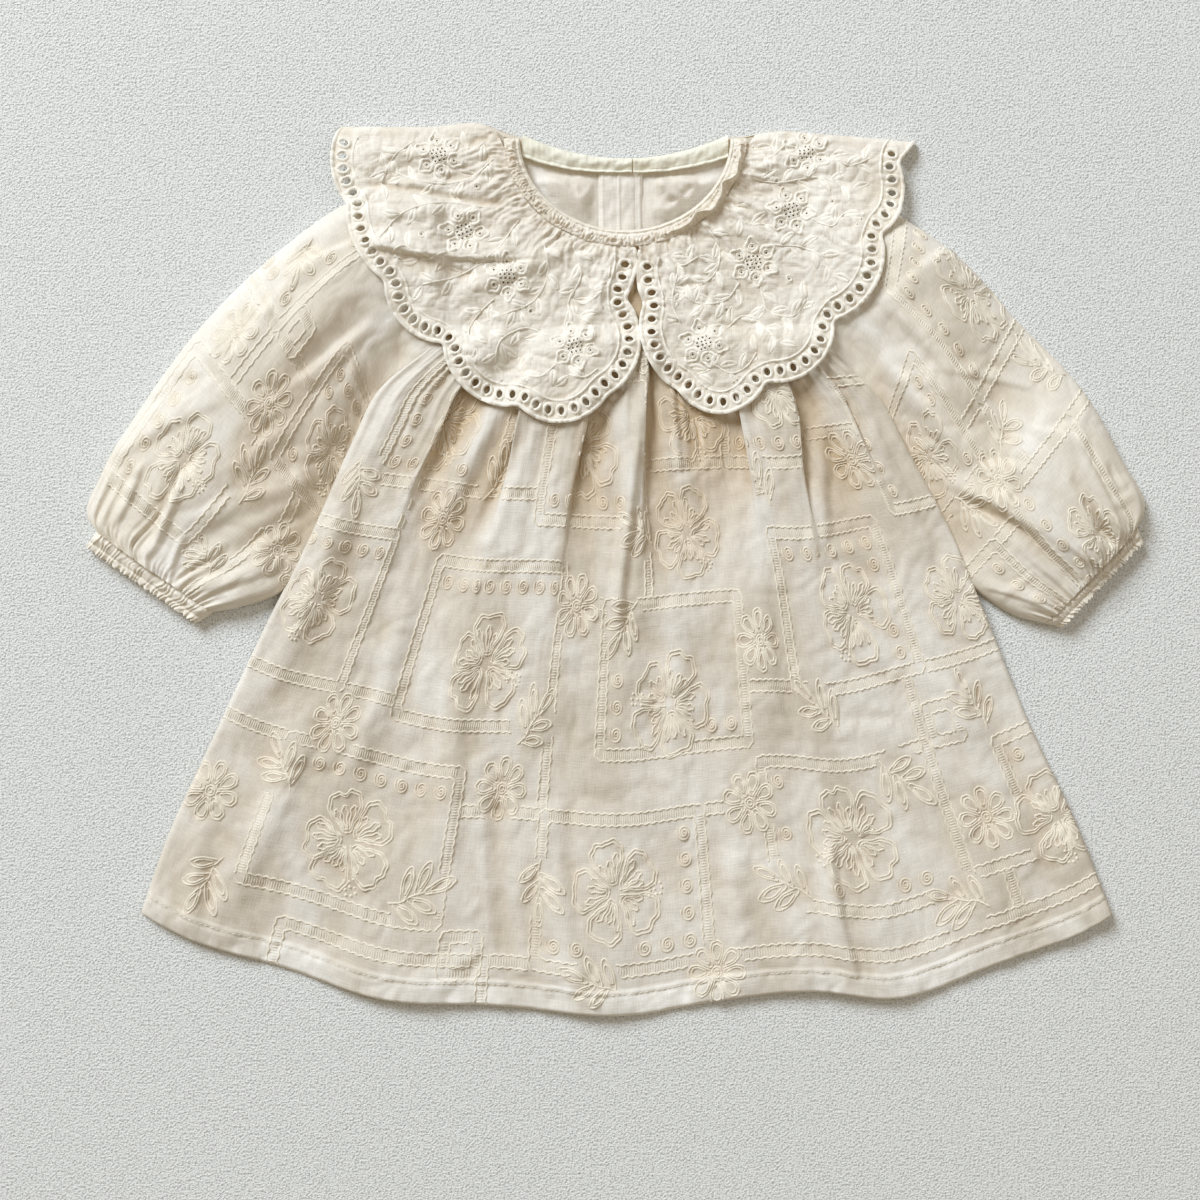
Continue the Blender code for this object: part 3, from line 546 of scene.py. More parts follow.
def turned(points, angle, place, size=1):
    """Points scaled, turned anticlockwise by an angle in degrees and moved to a place."""
    a = np.radians(angle)
    spin = np.array([[np.cos(a), np.sin(a)], [-np.sin(a), np.cos(a)]])
    return np.asarray(points) * size @ spin + np.asarray(place)


def wavy(line, step=1.15, swing=0.42, length=4.2):
    """A line as a cord that swings to both sides as a sine, with points at even steps."""
    reach = steps_of(line).sum()
    path = even(line, max(int(reach / step), 3))
    along = unit(np.gradient(path, axis=0))
    swings = swing * np.sin(np.linspace(0, 2 * np.pi * reach / length, len(path)))
    return path + np.stack([-along[:, 1], along[:, 0]], axis=1) * swings[:, None]


BAND = 5.5  # between the two cords of a band
RUNG_STEP = 1.3
RUNG = np.array([0.7, BAND / 2, BAND - 0.7])  # how far its three points are across the band


def frame_lines(x0, y0, x1, y1):
    """A rectangle's two wavy cords, rounded at the corners, and the rungs between them as three-point
    paths."""
    lines, rungs = [], []
    bend = np.radians(np.linspace(0, 90, 6))
    for inset in (0, BAND):
        a, b, c, d = x0 + inset, y0 + inset, x1 - inset, y1 - inset
        corner = np.stack([np.sin(bend) - 1, np.cos(bend) - 1], axis=1) * (4 - 0.4 * inset)
        quarter = ((c, d, 1, 0), (c, b, 0, -1), (a, b, -1, 0), (a, d, 0, 1))
        ring = [np.array([x, y]) + corner @ np.array([[p, q], [-q, p]]) for x, y, p, q in quarter]
        lines.append(wavy(np.concatenate([*ring, ring[0][:1]])))
    spots = np.array([(x0, y0), (x1, y0), (x1, y1), (x0, y1), (x0, y0)], float)
    for start, end in zip(spots[:-1], spots[1:]):
        length = np.linalg.norm(end - start)
        reach = length - 2 * BAND
        way = (end - start) / length
        foot = start + way * (BAND + np.linspace(0, reach, int(reach / RUNG_STEP) + 1))[:, None]
        rungs.append(foot[:, None] + np.array([-way[1], way[0]]) * RUNG[:, None])
    return lines, np.concatenate(rungs)


def band_lines(start, end):
    """A straight band from start to end: two wavy cords, and the rungs between them."""
    reach = np.linalg.norm(end - start)
    way = (end - start) / reach
    turn = np.array([-way[1], way[0]])
    lines = [wavy(np.array([start + turn * side, end + turn * side])) for side in (0, BAND)]
    foot = start + way * np.linspace(0.7, reach - 0.7, int(reach / RUNG_STEP))[:, None]
    return lines, foot[:, None] + turn * RUNG[:, None]


def rosette(turns=2.6, radius=4.1, count=34):
    """A rolled cord: a spiral whose radius grows evenly with its turn."""
    t = np.linspace(0, 1, count)
    angle = 2 * np.pi * turns * t**0.75
    return np.stack([np.cos(angle), np.sin(angle)], axis=1) * (0.5 + (radius - 0.5) * t)[:, None]


def petal_loops(half, inner, count, ripples=(9, 0.022)):
    """A petal's outline and a smaller one inside it, from half its points as (along, across). Inner is the
    smaller one's size and the place along the petal that it shrinks to."""
    half = np.array(half, float)
    points = np.concatenate([half, (half * (1, -1))[::-1]])
    ring = rounded(np.concatenate([points[-2:], points, points[:2]]), 400)
    first = np.argmin(np.linalg.norm(ring[:200] - points[0], axis=1))
    last = 200 + np.argmin(np.linalg.norm(ring[200:] - points[0], axis=1))
    outer = even(ring[first : last + 1], count)
    ripple = np.sin(np.linspace(0, 2 * np.pi * ripples[0], count))[:, None] * ripples[1]
    outer = outer + (outer - (0.5, 0)) * ripple
    centre = np.array([inner[1], 0])
    return [outer, centre + (outer - centre) * inner[0]]


FLOWER_PETAL = [(0.15, 0.04), (0.32, 0.17), (0.54, 0.35), (0.76, 0.42), (0.93, 0.33), (1, 0.15), (0.97, 0.04)]
DAISY_PETAL = [(0.24, 0.03), (0.42, 0.13), (0.70, 0.22), (0.93, 0.17), (1, 0.04)]
LEAF = [(0, 0.01), (0.25, 0.11), (0.55, 0.17), (0.85, 0.12), (1, 0.02)]


def flower(place, radius, turn):
    """Five broad petals of uneven size and outline, each with two outlines and three looped veins, as paths
    in cloth millimetres."""
    draw = np.random.default_rng(int(place[0] * 7 + place[1]))
    paths = []
    for k in range(5):
        petal = FLOWER_PETAL * draw.uniform(0.975, 1.025, (7, 2)) * draw.uniform((0.92, 0.90), (1.06, 1.06))
        loops = petal_loops(petal, (0.85, 0.58), int(radius * 2.8), (draw.integers(8, 12), 0.03))
        for spread in (-19, 1, 20):
            s = np.linspace(0, 1, int(radius * 1.4))
            tip = draw.uniform(0.54, 0.76)
            bow = 0.055 * np.sin(2 * np.pi * s) + 0.014 * np.sin(2 * np.pi * 5 * s + spread)
            out = 0.20 + (tip - 0.20) * np.sin(np.pi * s) ** 0.8
            loops.append(turned(np.stack([out, bow], axis=1), spread + draw.uniform(-4, 4), (0, 0)))
        lean = draw.uniform(-6, 6)
        paths += [turned(loop, turn + 72 * k + lean, place, radius) for loop in loops]
    return paths


def stamen(place, radius, turn):
    """A double stalk out of a flower's middle, and the places of the satin dots at its end."""
    s = np.linspace(0, 1, int(radius * 1.5))[:, None]
    stalks = [np.hstack([0.08 + 0.62 * s, side * (0.05 + 0.03 * s) + 0.06 * s**2]) for side in (-1, 1)]
    k = np.arange(9)
    dots = np.stack([0.72 + 0.13 * (k // 3) + 0.03 * (k % 2), 0.07 + 0.10 * (k % 3 - 1)], axis=1)
    return [turned(stalk, turn, place, radius) for stalk in stalks], turned(dots, turn, place, radius)


def daisy(place, radius, turn, petals=8):
    """Rounded petals with two outlines each, round a ringed middle."""
    loops = petal_loops(DAISY_PETAL, (0.66, 0.66), int(radius * 2.4))
    paths = [turned(loop, turn + 360 / petals * k, place, radius) for k in range(petals) for loop in loops]
    angle = np.linspace(0, 2 * np.pi, 14)
    ring = np.stack([np.cos(angle), np.sin(angle)], axis=1)
    return paths + [ring * 0.17 * radius + place, ring * 0.08 * radius + place]


def sprig(place, length, turn, leaves=5):
    """Long leaves, two outlines each, set by turns along a short bent stem, with one at its end."""
    stem = rounded([(-0.9, -0.10), (-0.5, 0.04), (-0.1, 0.02), (0.3, 0.10)], int(length * 1.2))
    paths = [turned(stem, turn, place, length)]
    loops = petal_loops(LEAF, (0.62, 0.52), int(length * 1.9))
    for k in range(leaves):
        foot = stem[int((len(stem) - 1) * (0.22 + 0.78 * k / (leaves - 1)))]
        spread = 6 if k == leaves - 1 else (58 - 5 * k) * (-1) ** k
        base = turned([foot], turn, place, length)[0]
        size = length * (1 + 0.10 * np.sin(3.1 * k + turn))
        paths += [turned(loop, turn + spread, base, size) for loop in loops]
    return paths


def points_of(item):
    """The points of a mesh object, in millimetres."""
    co = np.empty(len(item.data.vertices) * 3)
    item.data.vertices.foreach_get("co", co)
    return co.reshape(-1, 3) / MM


def shade_under(cloth, spots, amount=0.30, cell=1.2):
    """Cloth near close cords is painted as if it lay in their shade: its points near the given spots get more
    painted shade. The spots are counted in small squares, evened out, and read back at the cloth's points."""
    low = spots[:, :2].min(axis=0) - 6 * cell
    at = ((spots[:, :2] - low) / cell).astype(int)
    table = np.zeros(at.max(axis=0) + 8)
    np.add.at(table, tuple(at.T), 0.8)
    table = smoothed(np.minimum(table, 1), 2)
    places = (points_of(cloth)[:, :2] - low) / cell
    within = ((places > 0) & (places < np.array(table.shape) - 1)).all(axis=1)
    painted_shade = cloth.data.attributes["painted_shade"].data
    values = np.empty(len(places), np.float32)
    painted_shade.foreach_get("value", values)
    values += amount * np.where(within, between_cells(table, places[:, 0], places[:, 1]), 0)
    painted_shade.foreach_set("value", values)


def embroider(name, cloth, surface, shade, size, layout, material, handed=1):
    """All cords of one panel of cloth: size is its width and length, and nothing is laid outside it or under
    the flowers. The layout lists frames (left, top, right, bottom, and the sides that rosettes follow inside
    it), bands that run on from frame to frame (start x, y, end x, y), and flowers, daisies and sprigs (middle
    x, y, size, turn in degrees)."""
    frames, bands, flowers, daisies, sprigs = layout
    shares = ((flowers, 0.93), (daisies, 0.95), (sprigs, 0.85))
    clear = np.array([(x, y, share * r) for motifs, share in shares for x, y, r, _ in motifs])
    bundles, close = [], []

    def on_cloth(paths, margin=1):
        """Which points lie on the cloth, a margin inside its edges."""
        return ((paths > margin) & (paths < np.array(size) - margin)).all(axis=-1)

    def free(paths, room=0.8):
        """Which points lie on the cloth and outside every motif."""
        away = np.linalg.norm(paths[:, :, None] - clear[:, :2], axis=-1) > clear[:, 2] + room
        return on_cloth(paths) & away.all(axis=2)

    def lay_band(lines, rungs):
        """Adds two cords and the rungs between them, broken where a motif lies."""
        bundles.extend((line[None], 1.05, 0.62, free(line[None])) for line in lines)
        bundles.append((rungs, 0.75, 0.42, free(rungs)))

    inset, spacing = 12.2, 11.6  # of the rosettes from their frame, and between them
    for x0, y0, x1, y1, sides in frames:
        lay_band(*frame_lines(x0, y0, x1, y1))
        spots = []
        for side in sides:
            reach = (x1 - x0 if side in "tb" else y1 - y0) - 2 * inset
            at = inset + np.linspace(0, reach, max(int(round(reach / spacing)), 1) + 1)
            x, y = {
                "t": (x0 + at, y0 + inset), "b": (x0 + at, y1 - inset),
                "l": (x0 + inset, y0 + at), "r": (x1 - inset, y0 + at),
            }[side]
            spots.append(np.stack(np.broadcast_arrays(x, y), axis=1))
        if spots:
            spots = np.unique(np.round(np.concatenate(spots), 2), axis=0)
            whole = free(spots[:, None], room=4.5)[:, 0]
            rolls = spots[whole][:, None] + rosette()
            # The rosettes' cords take a little painted shade of their own, for the shade among their coils.
            bundles.append((rolls, 0.95, 0.60, on_cloth(rolls), 0.12))
            close.append(rolls.reshape(-1, 2))
    for ends in np.array(bands, float).reshape(-1, 2, 2):
        lay_band(*band_lines(*ends))
    paths, dots = [], []
    for x, y, r, turn in flowers:
        stalks, tips = stamen((x, y), r, turn + 36)
        paths += flower((x, y), r, turn) + stalks
        dots.append(tips)
    for motif, places in ((daisy, daisies), (sprig, sprigs)):
        for x, y, r, turn in places:
            paths += motif((x, y), r, turn)
    for count in sorted({len(path) for path in paths}):
        same = np.array([path for path in paths if len(path) == count])
        bundles.append((same, 1, 0.62, on_cloth(same)))
        close.append(same.reshape(-1, 2))
    pips = np.concatenate(dots)[:, None] + np.stack([np.linspace(-0.9, 0.9, 4), np.zeros(4)], axis=1)
    fat = np.array([1.5, 1.8, 1.8, 1.5])
    bundles.append((pips, fat, 0.75 * fat / 1.8, on_cloth(pips)))
    shade_under(cloth, surface(*np.concatenate(close).T))
    return lay_cords(name, bundles, surface, material, handed, shade)


def thread(name, plain, inputs):
    """A cotton thread's material: its own plain colour, going towards a warm tan where it carries painted
    shade from the cloth's low places.
    """
    material, shader = new_material(name, inputs)
    depth = add_node(material, "Attribute", "Fac", attribute_name="painted_shade")
    set_inputs(shader, {"Base Color": mixed(material, depth, linear(plain), linear("#C9AE88"))})
    return material


# Cotton cord: softly glossy where the plied thread lies smooth.
cord_looks = {"Roughness": 0.6, "Sheen Weight": 0.15, "Specular IOR Level": 0.35}
cord_cotton = thread("couched_cotton_cord", "#ECE5D4", cord_looks)

SKIRT_WORK = (
    [
        (22, 6, 120, 84, "bl"), (166, 20, 262, 96, "b"), (316, -20, 412, 70, "b"), (452, 26, 540, 100, "l"),
        (-34, 104, 64, 186, "t"), (96, 112, 200, 192, "t"), (226, 128, 322, 202, "lb"),
        (352, 98, 440, 176, "tr"),
        (40, 208, 150, 284, "t"), (150, 284, 172, 306, ""), (196, 226, 290, 300, "rb"),
        (322, 206, 430, 280, "bl"),
        (430, 190, 452, 212, ""), (464, 214, 560, 276, "l"), (66, 294.5, 176, 370, ""),
    ],
    [
        (120, 78.5, 166, 78.5), (262, 64.5, 316, 64.5), (412, 52, 452, 52), (64, 180.5, 96, 180.5),
        (200, 128, 226, 128), (322, 170.5, 352, 170.5), (440, 170.5, 490, 170.5), (0, 208, 40, 208),
        (150, 226, 196, 226), (290, 226, 322, 226), (430, 270.5, 464, 270.5), (176, 294.5, 196, 294.5),
        (290, 294.5, 490, 294.5), (450, 276, 450, 294.5), (64, 84, 64, 104), (200, 192, 200, 226),
        (262, 96, 262, 128), (396, 70, 396, 98), (430, 176, 430, 212),
    ],
    [
        (72, 50, 24, 15), (214, 58, 23, 100), (300, 44, 22, 40), (384, 30, 23, 200), (24, 144, 22, 60),
        (150, 160, 24, -20), (288, 100, 22, 10), (272, 178, 24, 150), (404, 140, 24, 80), (476, 146, 21, 10),
        (92, 252, 25, 30), (240, 262, 24, -40), (372, 243, 25, 110), (482, 262, 22, 55),
    ],
    [
        (138, 30, 15, 0), (264, 12, 14, 10), (442, 70, 15, 20), (92, 96, 15, 5), (208, 132, 15, 15),
        (332, 152, 15, 0), (66, 200, 15, 12), (172, 218, 15, 3), (316, 228, 15, 18), (446, 250, 15, 8),
        (12, 248, 15, 0), (290, 304, 14, 5),
    ],
    [
        (122, 72, 15.5, -70), (252, 98, 15, 200), (354, 76, 15.5, 235), (18, 84, 15, 60), (186, 186, 16, 300),
        (242, 140, 15, 120), (368, 184, 16, 215), (462, 196, 15.5, 250), (134, 268, 16.5, 330),
        (44, 226, 15, 220), (200, 262, 15, 80), (330, 268, 15.5, 200), (408, 220, 16, 40),
        (28, 288, 15.5, 100),
        (420, 284, 15.5, 200), (230, 304, 14, 190),
    ],
)
skirt_embroidery = embroider(
    "front_skirt_embroidery", front_skirt, skirt_front, skirt_shade, SKIRT_CLOTH, SKIRT_WORK, cord_cotton
)

# The hem is turned twice and stitched by machine: short threads with a gap between each two.
STITCH, STITCH_GAP = 2.1, 0.7
hem_x = np.linspace(2, SKIRT_CLOTH[0] - 2, 60)
hem_line = np.stack([hem_x, np.full(60, SKIRT_CLOTH[1] - HEM_DEPTH + 1.6)], axis=1)
hem_reach = steps_of(hem_line).sum()
stitch_starts = np.arange(0, hem_reach - STITCH, STITCH + STITCH_GAP)[:, None]
hem_paths = on_curve(even(hem_line, 800), (stitch_starts + np.linspace(0, STITCH, 4)) / hem_reach)
hem_bundle = (hem_paths, 0.62, 0.24, np.ones(hem_paths.shape[:2], bool))
hem_stitches = lay_cords("hem_stitches", [hem_bundle], skirt_front, cord_cotton)
sewn_in(hem_stitches, "embroidered_cotton")
sewn_in(skirt_embroidery, "embroidered_cotton")

# ---------------------------------------------------------------- the sleeves
# Each sleeve is one wide piece of the same lawn, sewn into a tube under the arm and gathered at the armhole
# and at the cuff, so it balloons between. As it lies its air has left it, in slanting folds.

SLEEVE_CLOTH = (142, 204)  # half the width of the piece as cut, and its length
CUFF_LENGTH = 8
SLEEVE_EDGE = 2  # height of the fold along a sleeve's edge
SLEEVES = {
    # Upper and lower edge from the armhole to the cuff, and the cuff's free corners. The value after the seed
    # is the painted shade of the part before the strip beside the skirt. Form is a table of heights: from the
    # upper edge to the seam along a row, from the armhole to the cuff down the rows. Folds are rows for
    # creases, and work is a layout for embroider.
    "left": {
        "upper": [
            (-89.9, 191.4), (-96.5, 189.1), (-128.7, 177.7), (-160.6, 155.5), (-196.3, 121.7), (-228.7, 78.7),
            (-248, 46.4), (-254.4, 25), (-249.8, 18.8),
        ],
        "lower": [
            (-84.5, 108), (-92.4, 106), (-111, 90.6), (-121, 70), (-126, 52), (-135, 29), (-147, 3),
            (-160.6, -10.6), (-181, -18), (-193.6, -20.5),
        ],
        "cuff": [(-255.3, 11.6), (-201.7, -25.6)],
        "seed": 20,
        "painted_middle_shade": 0.30,
        "form": (
            (6, 7.5, 9, 9, 8, 7), (5, 13, 16.5, 11.5, 9, 7.5), (5, 14.5, 17.5, 11.5, 8.5, 7),
            (5, 14.5, 17, 11, 8.5, 7), (5.5, 13, 15.5, 10.5, 11, 7.5), (7, 8.5, 9, 8.5, 8.5, 7),
        ),
        "folds": (
            (-94, 181, -152, 147, 4, 11, -3.4), (-128, 162, -190, 92, 9, 5, 1.6),
            (-108, 121, -150, 92, 6, 6, 2),
            (-118, 128, -170, 76, 6, 12, -2), (-186, 84, -240, 52, 6, 14, 2.4),
            (-199, 62, -228, 2, 5, 7, -2.6),
            (-206, 50, -220, 6, 4, 2.4, 2.6), (-128, 47, -216, 16, 8, 9, 2.2),
            (-134, 30, -206, -2, 6, 7, -1.6),
            (-150, 10, -208, -14.5, 4, 8, 2), (-226, 52, -240, 20, 3, 5, 2.2),
            (-236, 46, -248, 22, 3, 3, -1.8),
            (-204, 18, -214, -4, 2.5, 3.5, 2), (-150, 76, -186, 44, 8, 5, 1.6),
            (-112, 158, -140, 132, 3, 6, 1.2),
        ),
        "work": (
            [
                (-10, 20, 46, 84, "br"), (46, 64, 66, 84, ""), (88, 50, 160, 122, "lt"),
                (6, 112, 80, 180, "l"),
                (106, 146, 160, 214, "t"),
            ],
            [(66, 78.5, 88, 78.5), (80, 174.5, 106, 174.5), (46, 84, 46, 112), (118, 122, 118, 146)],
            [(122, 92, 21, 30), (44, 150, 21, -30)],
            [(70, 104, 15, 0), (24, 98, 14, 10), (122, 150, 14, 20)],
            [(84, 134, 15, 250), (96, 178, 14, 200), (20, 58, 13, 30)],
        ),
    },
    "right": {
        "upper": [
            (98, 189.5), (104.5, 186.5), (136.4, 171.5), (169.8, 147.8), (195.4, 119.8), (223.4, 90.3),
            (245.1, 53.1), (255.8, 28.5), (252.5, 21),
        ],
        "lower": [
            (98, 108), (105.8, 106), (123, 91), (133.5, 68), (139, 52), (150, 28), (162, 3), (172.2, -7.7),
            (195.4, -22.7), (207.5, -25.8),
        ],
        "cuff": [(255.3, 14), (215.8, -27.4)],
        "seed": 40,
        "painted_middle_shade": 0.10,
        "form": (
            (6, 7, 7.5, 6.5, 6, 6), (9, 15, 14, 8, 6, 5.5), (10.5, 18, 16, 12.5, 6.5, 4),
            (6, 11, 11.5, 17, 7.5, 3.5), (3.5, 4.5, 5.5, 9.5, 8, 3.5), (8, 16.5, 18.5, 15.5, 11, 5),
            (8.5, 17, 19, 17, 13, 8), (7, 9, 9.5, 9, 8, 6.5),
        ),
        "folds": (
            (166, 160, 112, 106, 12, 4, 3.2), (120, 132, 188, 62, 10, 5, 3), (130, 106, 176, 40, 5, 7, 2.8),
            (134, 84, 162, 22, 5, 9, -3.2), (162, 46, 232, -2, 10, 4.6, 4.2), (170, 34, 226, -10, 3, 8, -2.6),
            (216, 44, 240, 12, 3.4, 4, -4), (222, 52, 247, 16, 2.4, 4, 2.4), (236, 52, 250, 22, 3, 4, -2),
            (196, 66, 226, 62, 3, 9, 1.4), (176, -8, 214, -22, 6, 2, 1.8), (150, 98, 204, 84, 7, 3, 1.4),
        ),
        "work": (
            [
                (-16, 34, 66, 106, "tr"), (84, 56, 160, 126, "l"), (20, 140, 92, 214, "r"),
                (110, 150, 160, 214, "l"),
            ],
            [(66, 100.5, 84, 100.5), (92, 150, 110, 150), (66, 106, 66, 140), (0, 140, 20, 140)],
            [(18, 76, 22, 200), (118, 96, 20, 70), (54, 186, 19, 20)],
            [(86, 134, 15, 0), (60, 18, 14, 5)],
            [(112, 132, 14, 110), (12, 120, 15, 300), (62, 122, 13, 200)],
        ),
    },
}


def relief(u, v, table):
    """The smooth surface that a table of heights asks for: v goes down its rows and u along them, each from 0
    to 1, blended as quadratic B-splines."""
    table = np.pad(np.asarray(table, float), 1, mode="edge")
    weights, starts = [], []
    for share, count in ((v, table.shape[0] - 2), (u, table.shape[1] - 2)):
        at = np.clip(share, 0, 1) * (count - 1) + 0.5
        i = np.minimum(np.floor(at).astype(int), count - 1)
        t = at - i
        weights.append(((1 - t) ** 2 / 2, 0.5 + t * (1 - t), t**2 / 2))
        starts.append(i)
    cells = ((j, k) for j in range(3) for k in range(3))
    return sum(weights[0][j] * weights[1][k] * table[starts[0] + j, starts[1] + k] for j, k in cells)


def sleeve_shape(upper, lower, form, folds, seed):
    """Surface of a sleeve at cloth place x across and y down. x is 0 on the fold along the upper edge, grows
    to the seam on the front and falls to the seam on the back. The front is puffed to its table of heights,
    less what is over 15 mm, and its edges are rounded."""
    upper, lower = rounded(upper), rounded(lower)

    def surface(x, y):
        u, v = np.abs(x) / SLEEVE_CLOTH[0], y / SLEEVE_CLOTH[1]
        high, low = on_curve(upper, v), on_curve(lower, v)
        way = (low - high) / np.linalg.norm(low - high, axis=-1, keepdims=True)
        low = low + way * (5 * (1 - soft(0.22, 0.45, v)))[..., None]  # the seam runs on under the skirt
        flat = high + (low - high) * u[..., None]
        place_x, place_y = flat[..., 0], flat[..., 1]
        span = np.linalg.norm(low - high, axis=-1)
        seam = (1 - u) * span
        tucked = soft(0.02, 0.12, v) * (1 - soft(0.66, 0.84, v))  # where the skirt lies over the lower edge
        top = relief(u, v, form)
        top = top - (top - 3) * tucked * (1 - soft(5, 26, seam))
        puff = soft(0.10, 0.26, v) * (1 - tucked * (1 - soft(6, 20, seam)))
        height = (0.8 * creases(place_x, place_y, folds) + uneven(place_x / 30, place_y / 30, seed)) * puff
        height = height + 0.85 * crumpled(place_x, place_y + place_x / 2, 26, seed + 1)
        height = height + 0.42 * crumpled(place_x, place_y - place_x / 3, 11, seed + 2)
        pulls = np.sin(2 * np.pi * (u * 13 + 1.3 * uneven(u * 6, v * 3, seed + 3)))
        fine = np.sin(2 * np.pi * (u * 27 + 0.8 * uneven(u * 9, v * 3, seed + 4)))
        height = height + 1.25 * pulls * soft(0.78, 0.97, v) * (0.5 + 0.8 * uneven(u * 9, v * 3, seed + 5))
        height = height + 0.6 * fine * soft(0.92, 0.99, v)
        height = height + 0.5 * uneven(u * 22, v * 3, seed + 6) * (1 - soft(0.02, 0.16, v))
        top = np.maximum(top + height, 2.6)
        top = np.where(top > 15, 15 + 4.2 * (1 - np.exp(-(np.maximum(top, 15) - 15) / 4.2)), top)
        front = SLEEVE_EDGE + (top - SLEEVE_EDGE) * (rolled(u * span, 9) * rolled(seam, 6))
        # The collar's back lies under this part.
        reach = np.hypot((place_x - 5.1) / 132, (place_y - 208.5) / 90)
        level = 0.35 + (1 - soft(1.13, 1.3, reach)) - 0.08 * uneven(place_x / 12, place_y / 12, seed + 7)
        back = SLEEVE_EDGE - (SLEEVE_EDGE - level) * rolled(np.minimum(u * span, seam), 2)
        return np.stack([place_x, place_y, np.where(x >= 0, front, back)], axis=-1)

    return surface


def cuff_shape(upper, lower, seed, ripples=26):
    """Surface of a cuff: a puckered elastic channel and, past its stitch line, a frill as fine as a row of
    beads."""
    along = (upper[1] - upper[0]) / np.linalg.norm(upper[1] - upper[0])

    def surface(x, y):
        u, v = np.abs(x), y / CUFF_LENGTH
        high = upper[0] + (upper[1] - upper[0]) * v[..., None]
        low = lower[0] + (lower[1] - lower[0]) * v[..., None]
        swell = np.sin(2 * np.pi * (u * ripples + 1.1 * uneven(u * 14, v * 1.5, seed)))
        frill = soft(0.62, 0.80, v)
        flat = high + (low - high) * u[..., None] + along * (0.45 * swell * frill)[..., None]
        roll = rolled(np.minimum(u, 1 - u) * np.linalg.norm(low - high, axis=-1), 4)
        channel = 0.9 * hump((v - 0.30) / 0.34) - 0.7 * hump((v - 0.66) / 0.10)
        beads = (0.42 + 0.28 * frill) * swell * (0.7 + 0.8 * uneven(u * 11, v, seed + 2))
        top = 7.4 - 0.6 * v + channel + beads + 0.7 * uneven(u * 14, v * 2, seed + 1)
        front = SLEEVE_EDGE + (np.maximum(top, 2.8) - SLEEVE_EDGE) * roll
        back = SLEEVE_EDGE - (SLEEVE_EDGE - 0.55 - 0.15 * swell) * np.minimum(roll * 2, 1)
        return np.dstack([flat, np.where(x >= 0, front, back)])

    return surface


def both_sides(front_count, back_count):
    """Shares across a tube's cloth, from the seam round the back to the upper fold and over the front."""
    front = (1 - np.cos(np.linspace(0, np.pi, front_count))) / 2
    front = 0.6 * front + 0.4 * np.linspace(0, 1, front_count)
    back = (1 - np.cos(np.linspace(0, np.pi, back_count))) / 2
    return np.concatenate([-back[::-1][:-1], front])


def off_the_edge(painted_middle_shade):
    """Painted shade in low places, but none along a tube's folded edge and little where it is gathered at the
    cuff. The strip beside the skirt is painted in the skirt's warm shade, and the argument is the painted
    shade of the part before that strip."""
    def deepen(x, y, z, painted_shade):
        """The painted shade at a place, with the edges and the strip beside the skirt seen to."""
        v = y / SLEEVE_CLOTH[1]
        # Painted shade: the part before the strip beside the skirt at its given level, and the strip itself
        # up to 0.5.
        beside = painted_middle_shade * soft(46, 76, x) + (0.5 - painted_middle_shade) * soft(106, 130, x)
        beside = beside * soft(0.10, 0.25, v) * (1 - soft(0.62, 0.86, v))
        return np.maximum(painted_shade * (1 - 0.6 * soft(0.80, 0.95, v)), beside) * soft(8, 30, np.abs(x)) * (x > 0)

    return deepen


# The sleeves' lawn is paler than the skirt's: partly its own look, as two loose layers let more light back
# than the pressed skirt does, and partly painted light for the puffed sleeves turned to the lamp.
sleeve_lawn = cotton_lawn("loose_cotton_lawn_with_painted_light", "#F1EADA", "#FCF9F0")
sleeves = {}
for side_name, data in SLEEVES.items():
    on_left = side_name == "left"
    shape = sleeve_shape(*(data[key] for key in ("upper", "lower", "form", "folds", "seed")))
    sleeve_columns, sleeve_rows = both_sides(151, 41) * SLEEVE_CLOTH[0], np.linspace(0, SLEEVE_CLOTH[1], 181)
    sleeves[side_name], sleeve_shade = sheet_piece(
        f"sleeve_{side_name}_cloth", shape, sleeve_columns, sleeve_rows, sleeve_lawn, on_left,
        off_the_edge(data["painted_middle_shade"]),
    )
    worked = embroider(
        f"sleeve_{side_name}_embroidery", sleeves[side_name], shape, sleeve_shade, SLEEVE_CLOTH, data["work"],
        cord_cotton, 1 if on_left else -1,
    )
    cuff_edges = (np.array([data[edge][-1], end]) for edge, end in zip(("upper", "lower"), data["cuff"]))
    # A cuff keeps only a little of its painted shade between its gathers.
    cuff, _ = sheet_piece(
        f"cuff_{side_name}_cloth", cuff_shape(*cuff_edges, data["seed"] + 10), both_sides(209, 105),
        np.linspace(0, CUFF_LENGTH, 19), sleeve_lawn, on_left, lambda x, y, z, painted_shade: 0.15 * painted_shade,
    )
    sewn_in(worked, "embroidered_cotton")
    sewn_in(
        sleeves[side_name], "embroidered_cotton", f"sleeve_{side_name}",
        flat=(0.284, 0.204), held="gathered", area=0.050, rests_on=["board"], with_pieces=[worked],
    )
    sewn_in(
        cuff, "embroidered_cotton", f"cuff_{side_name}",
        flat=(0.145, 0.010), held="gathered", rests_on=["board"],
    )

# ---------------------------------------------------------------- the yokes and the back opening
# The yokes are short plain panels of the lawn under the collar. The back one is open down the middle: two
# placket strips lie over each other there, and three shell buttons close them on the outside.

# The front yoke is seen only in the warm shade under the collar and through its eyelets.
shaded_lawn = cotton_lawn("shaded_cotton_lawn", "#DCC6A4", "#CDB28B")
# The inside of the back is a paler copy of the lawn: painted light, making up for the shade that the neck
# band and binding cast on it.
painted_light_inside_lawn = cotton_lawn("inside_cotton_lawn_painted_light", "#EFE8DA", "#FDFAF1")
NECK_CENTRE = np.array([5.1, 208.5])
NECK_RADII = np.array([51, 45.5])
YOKE_FOOT = 106.3


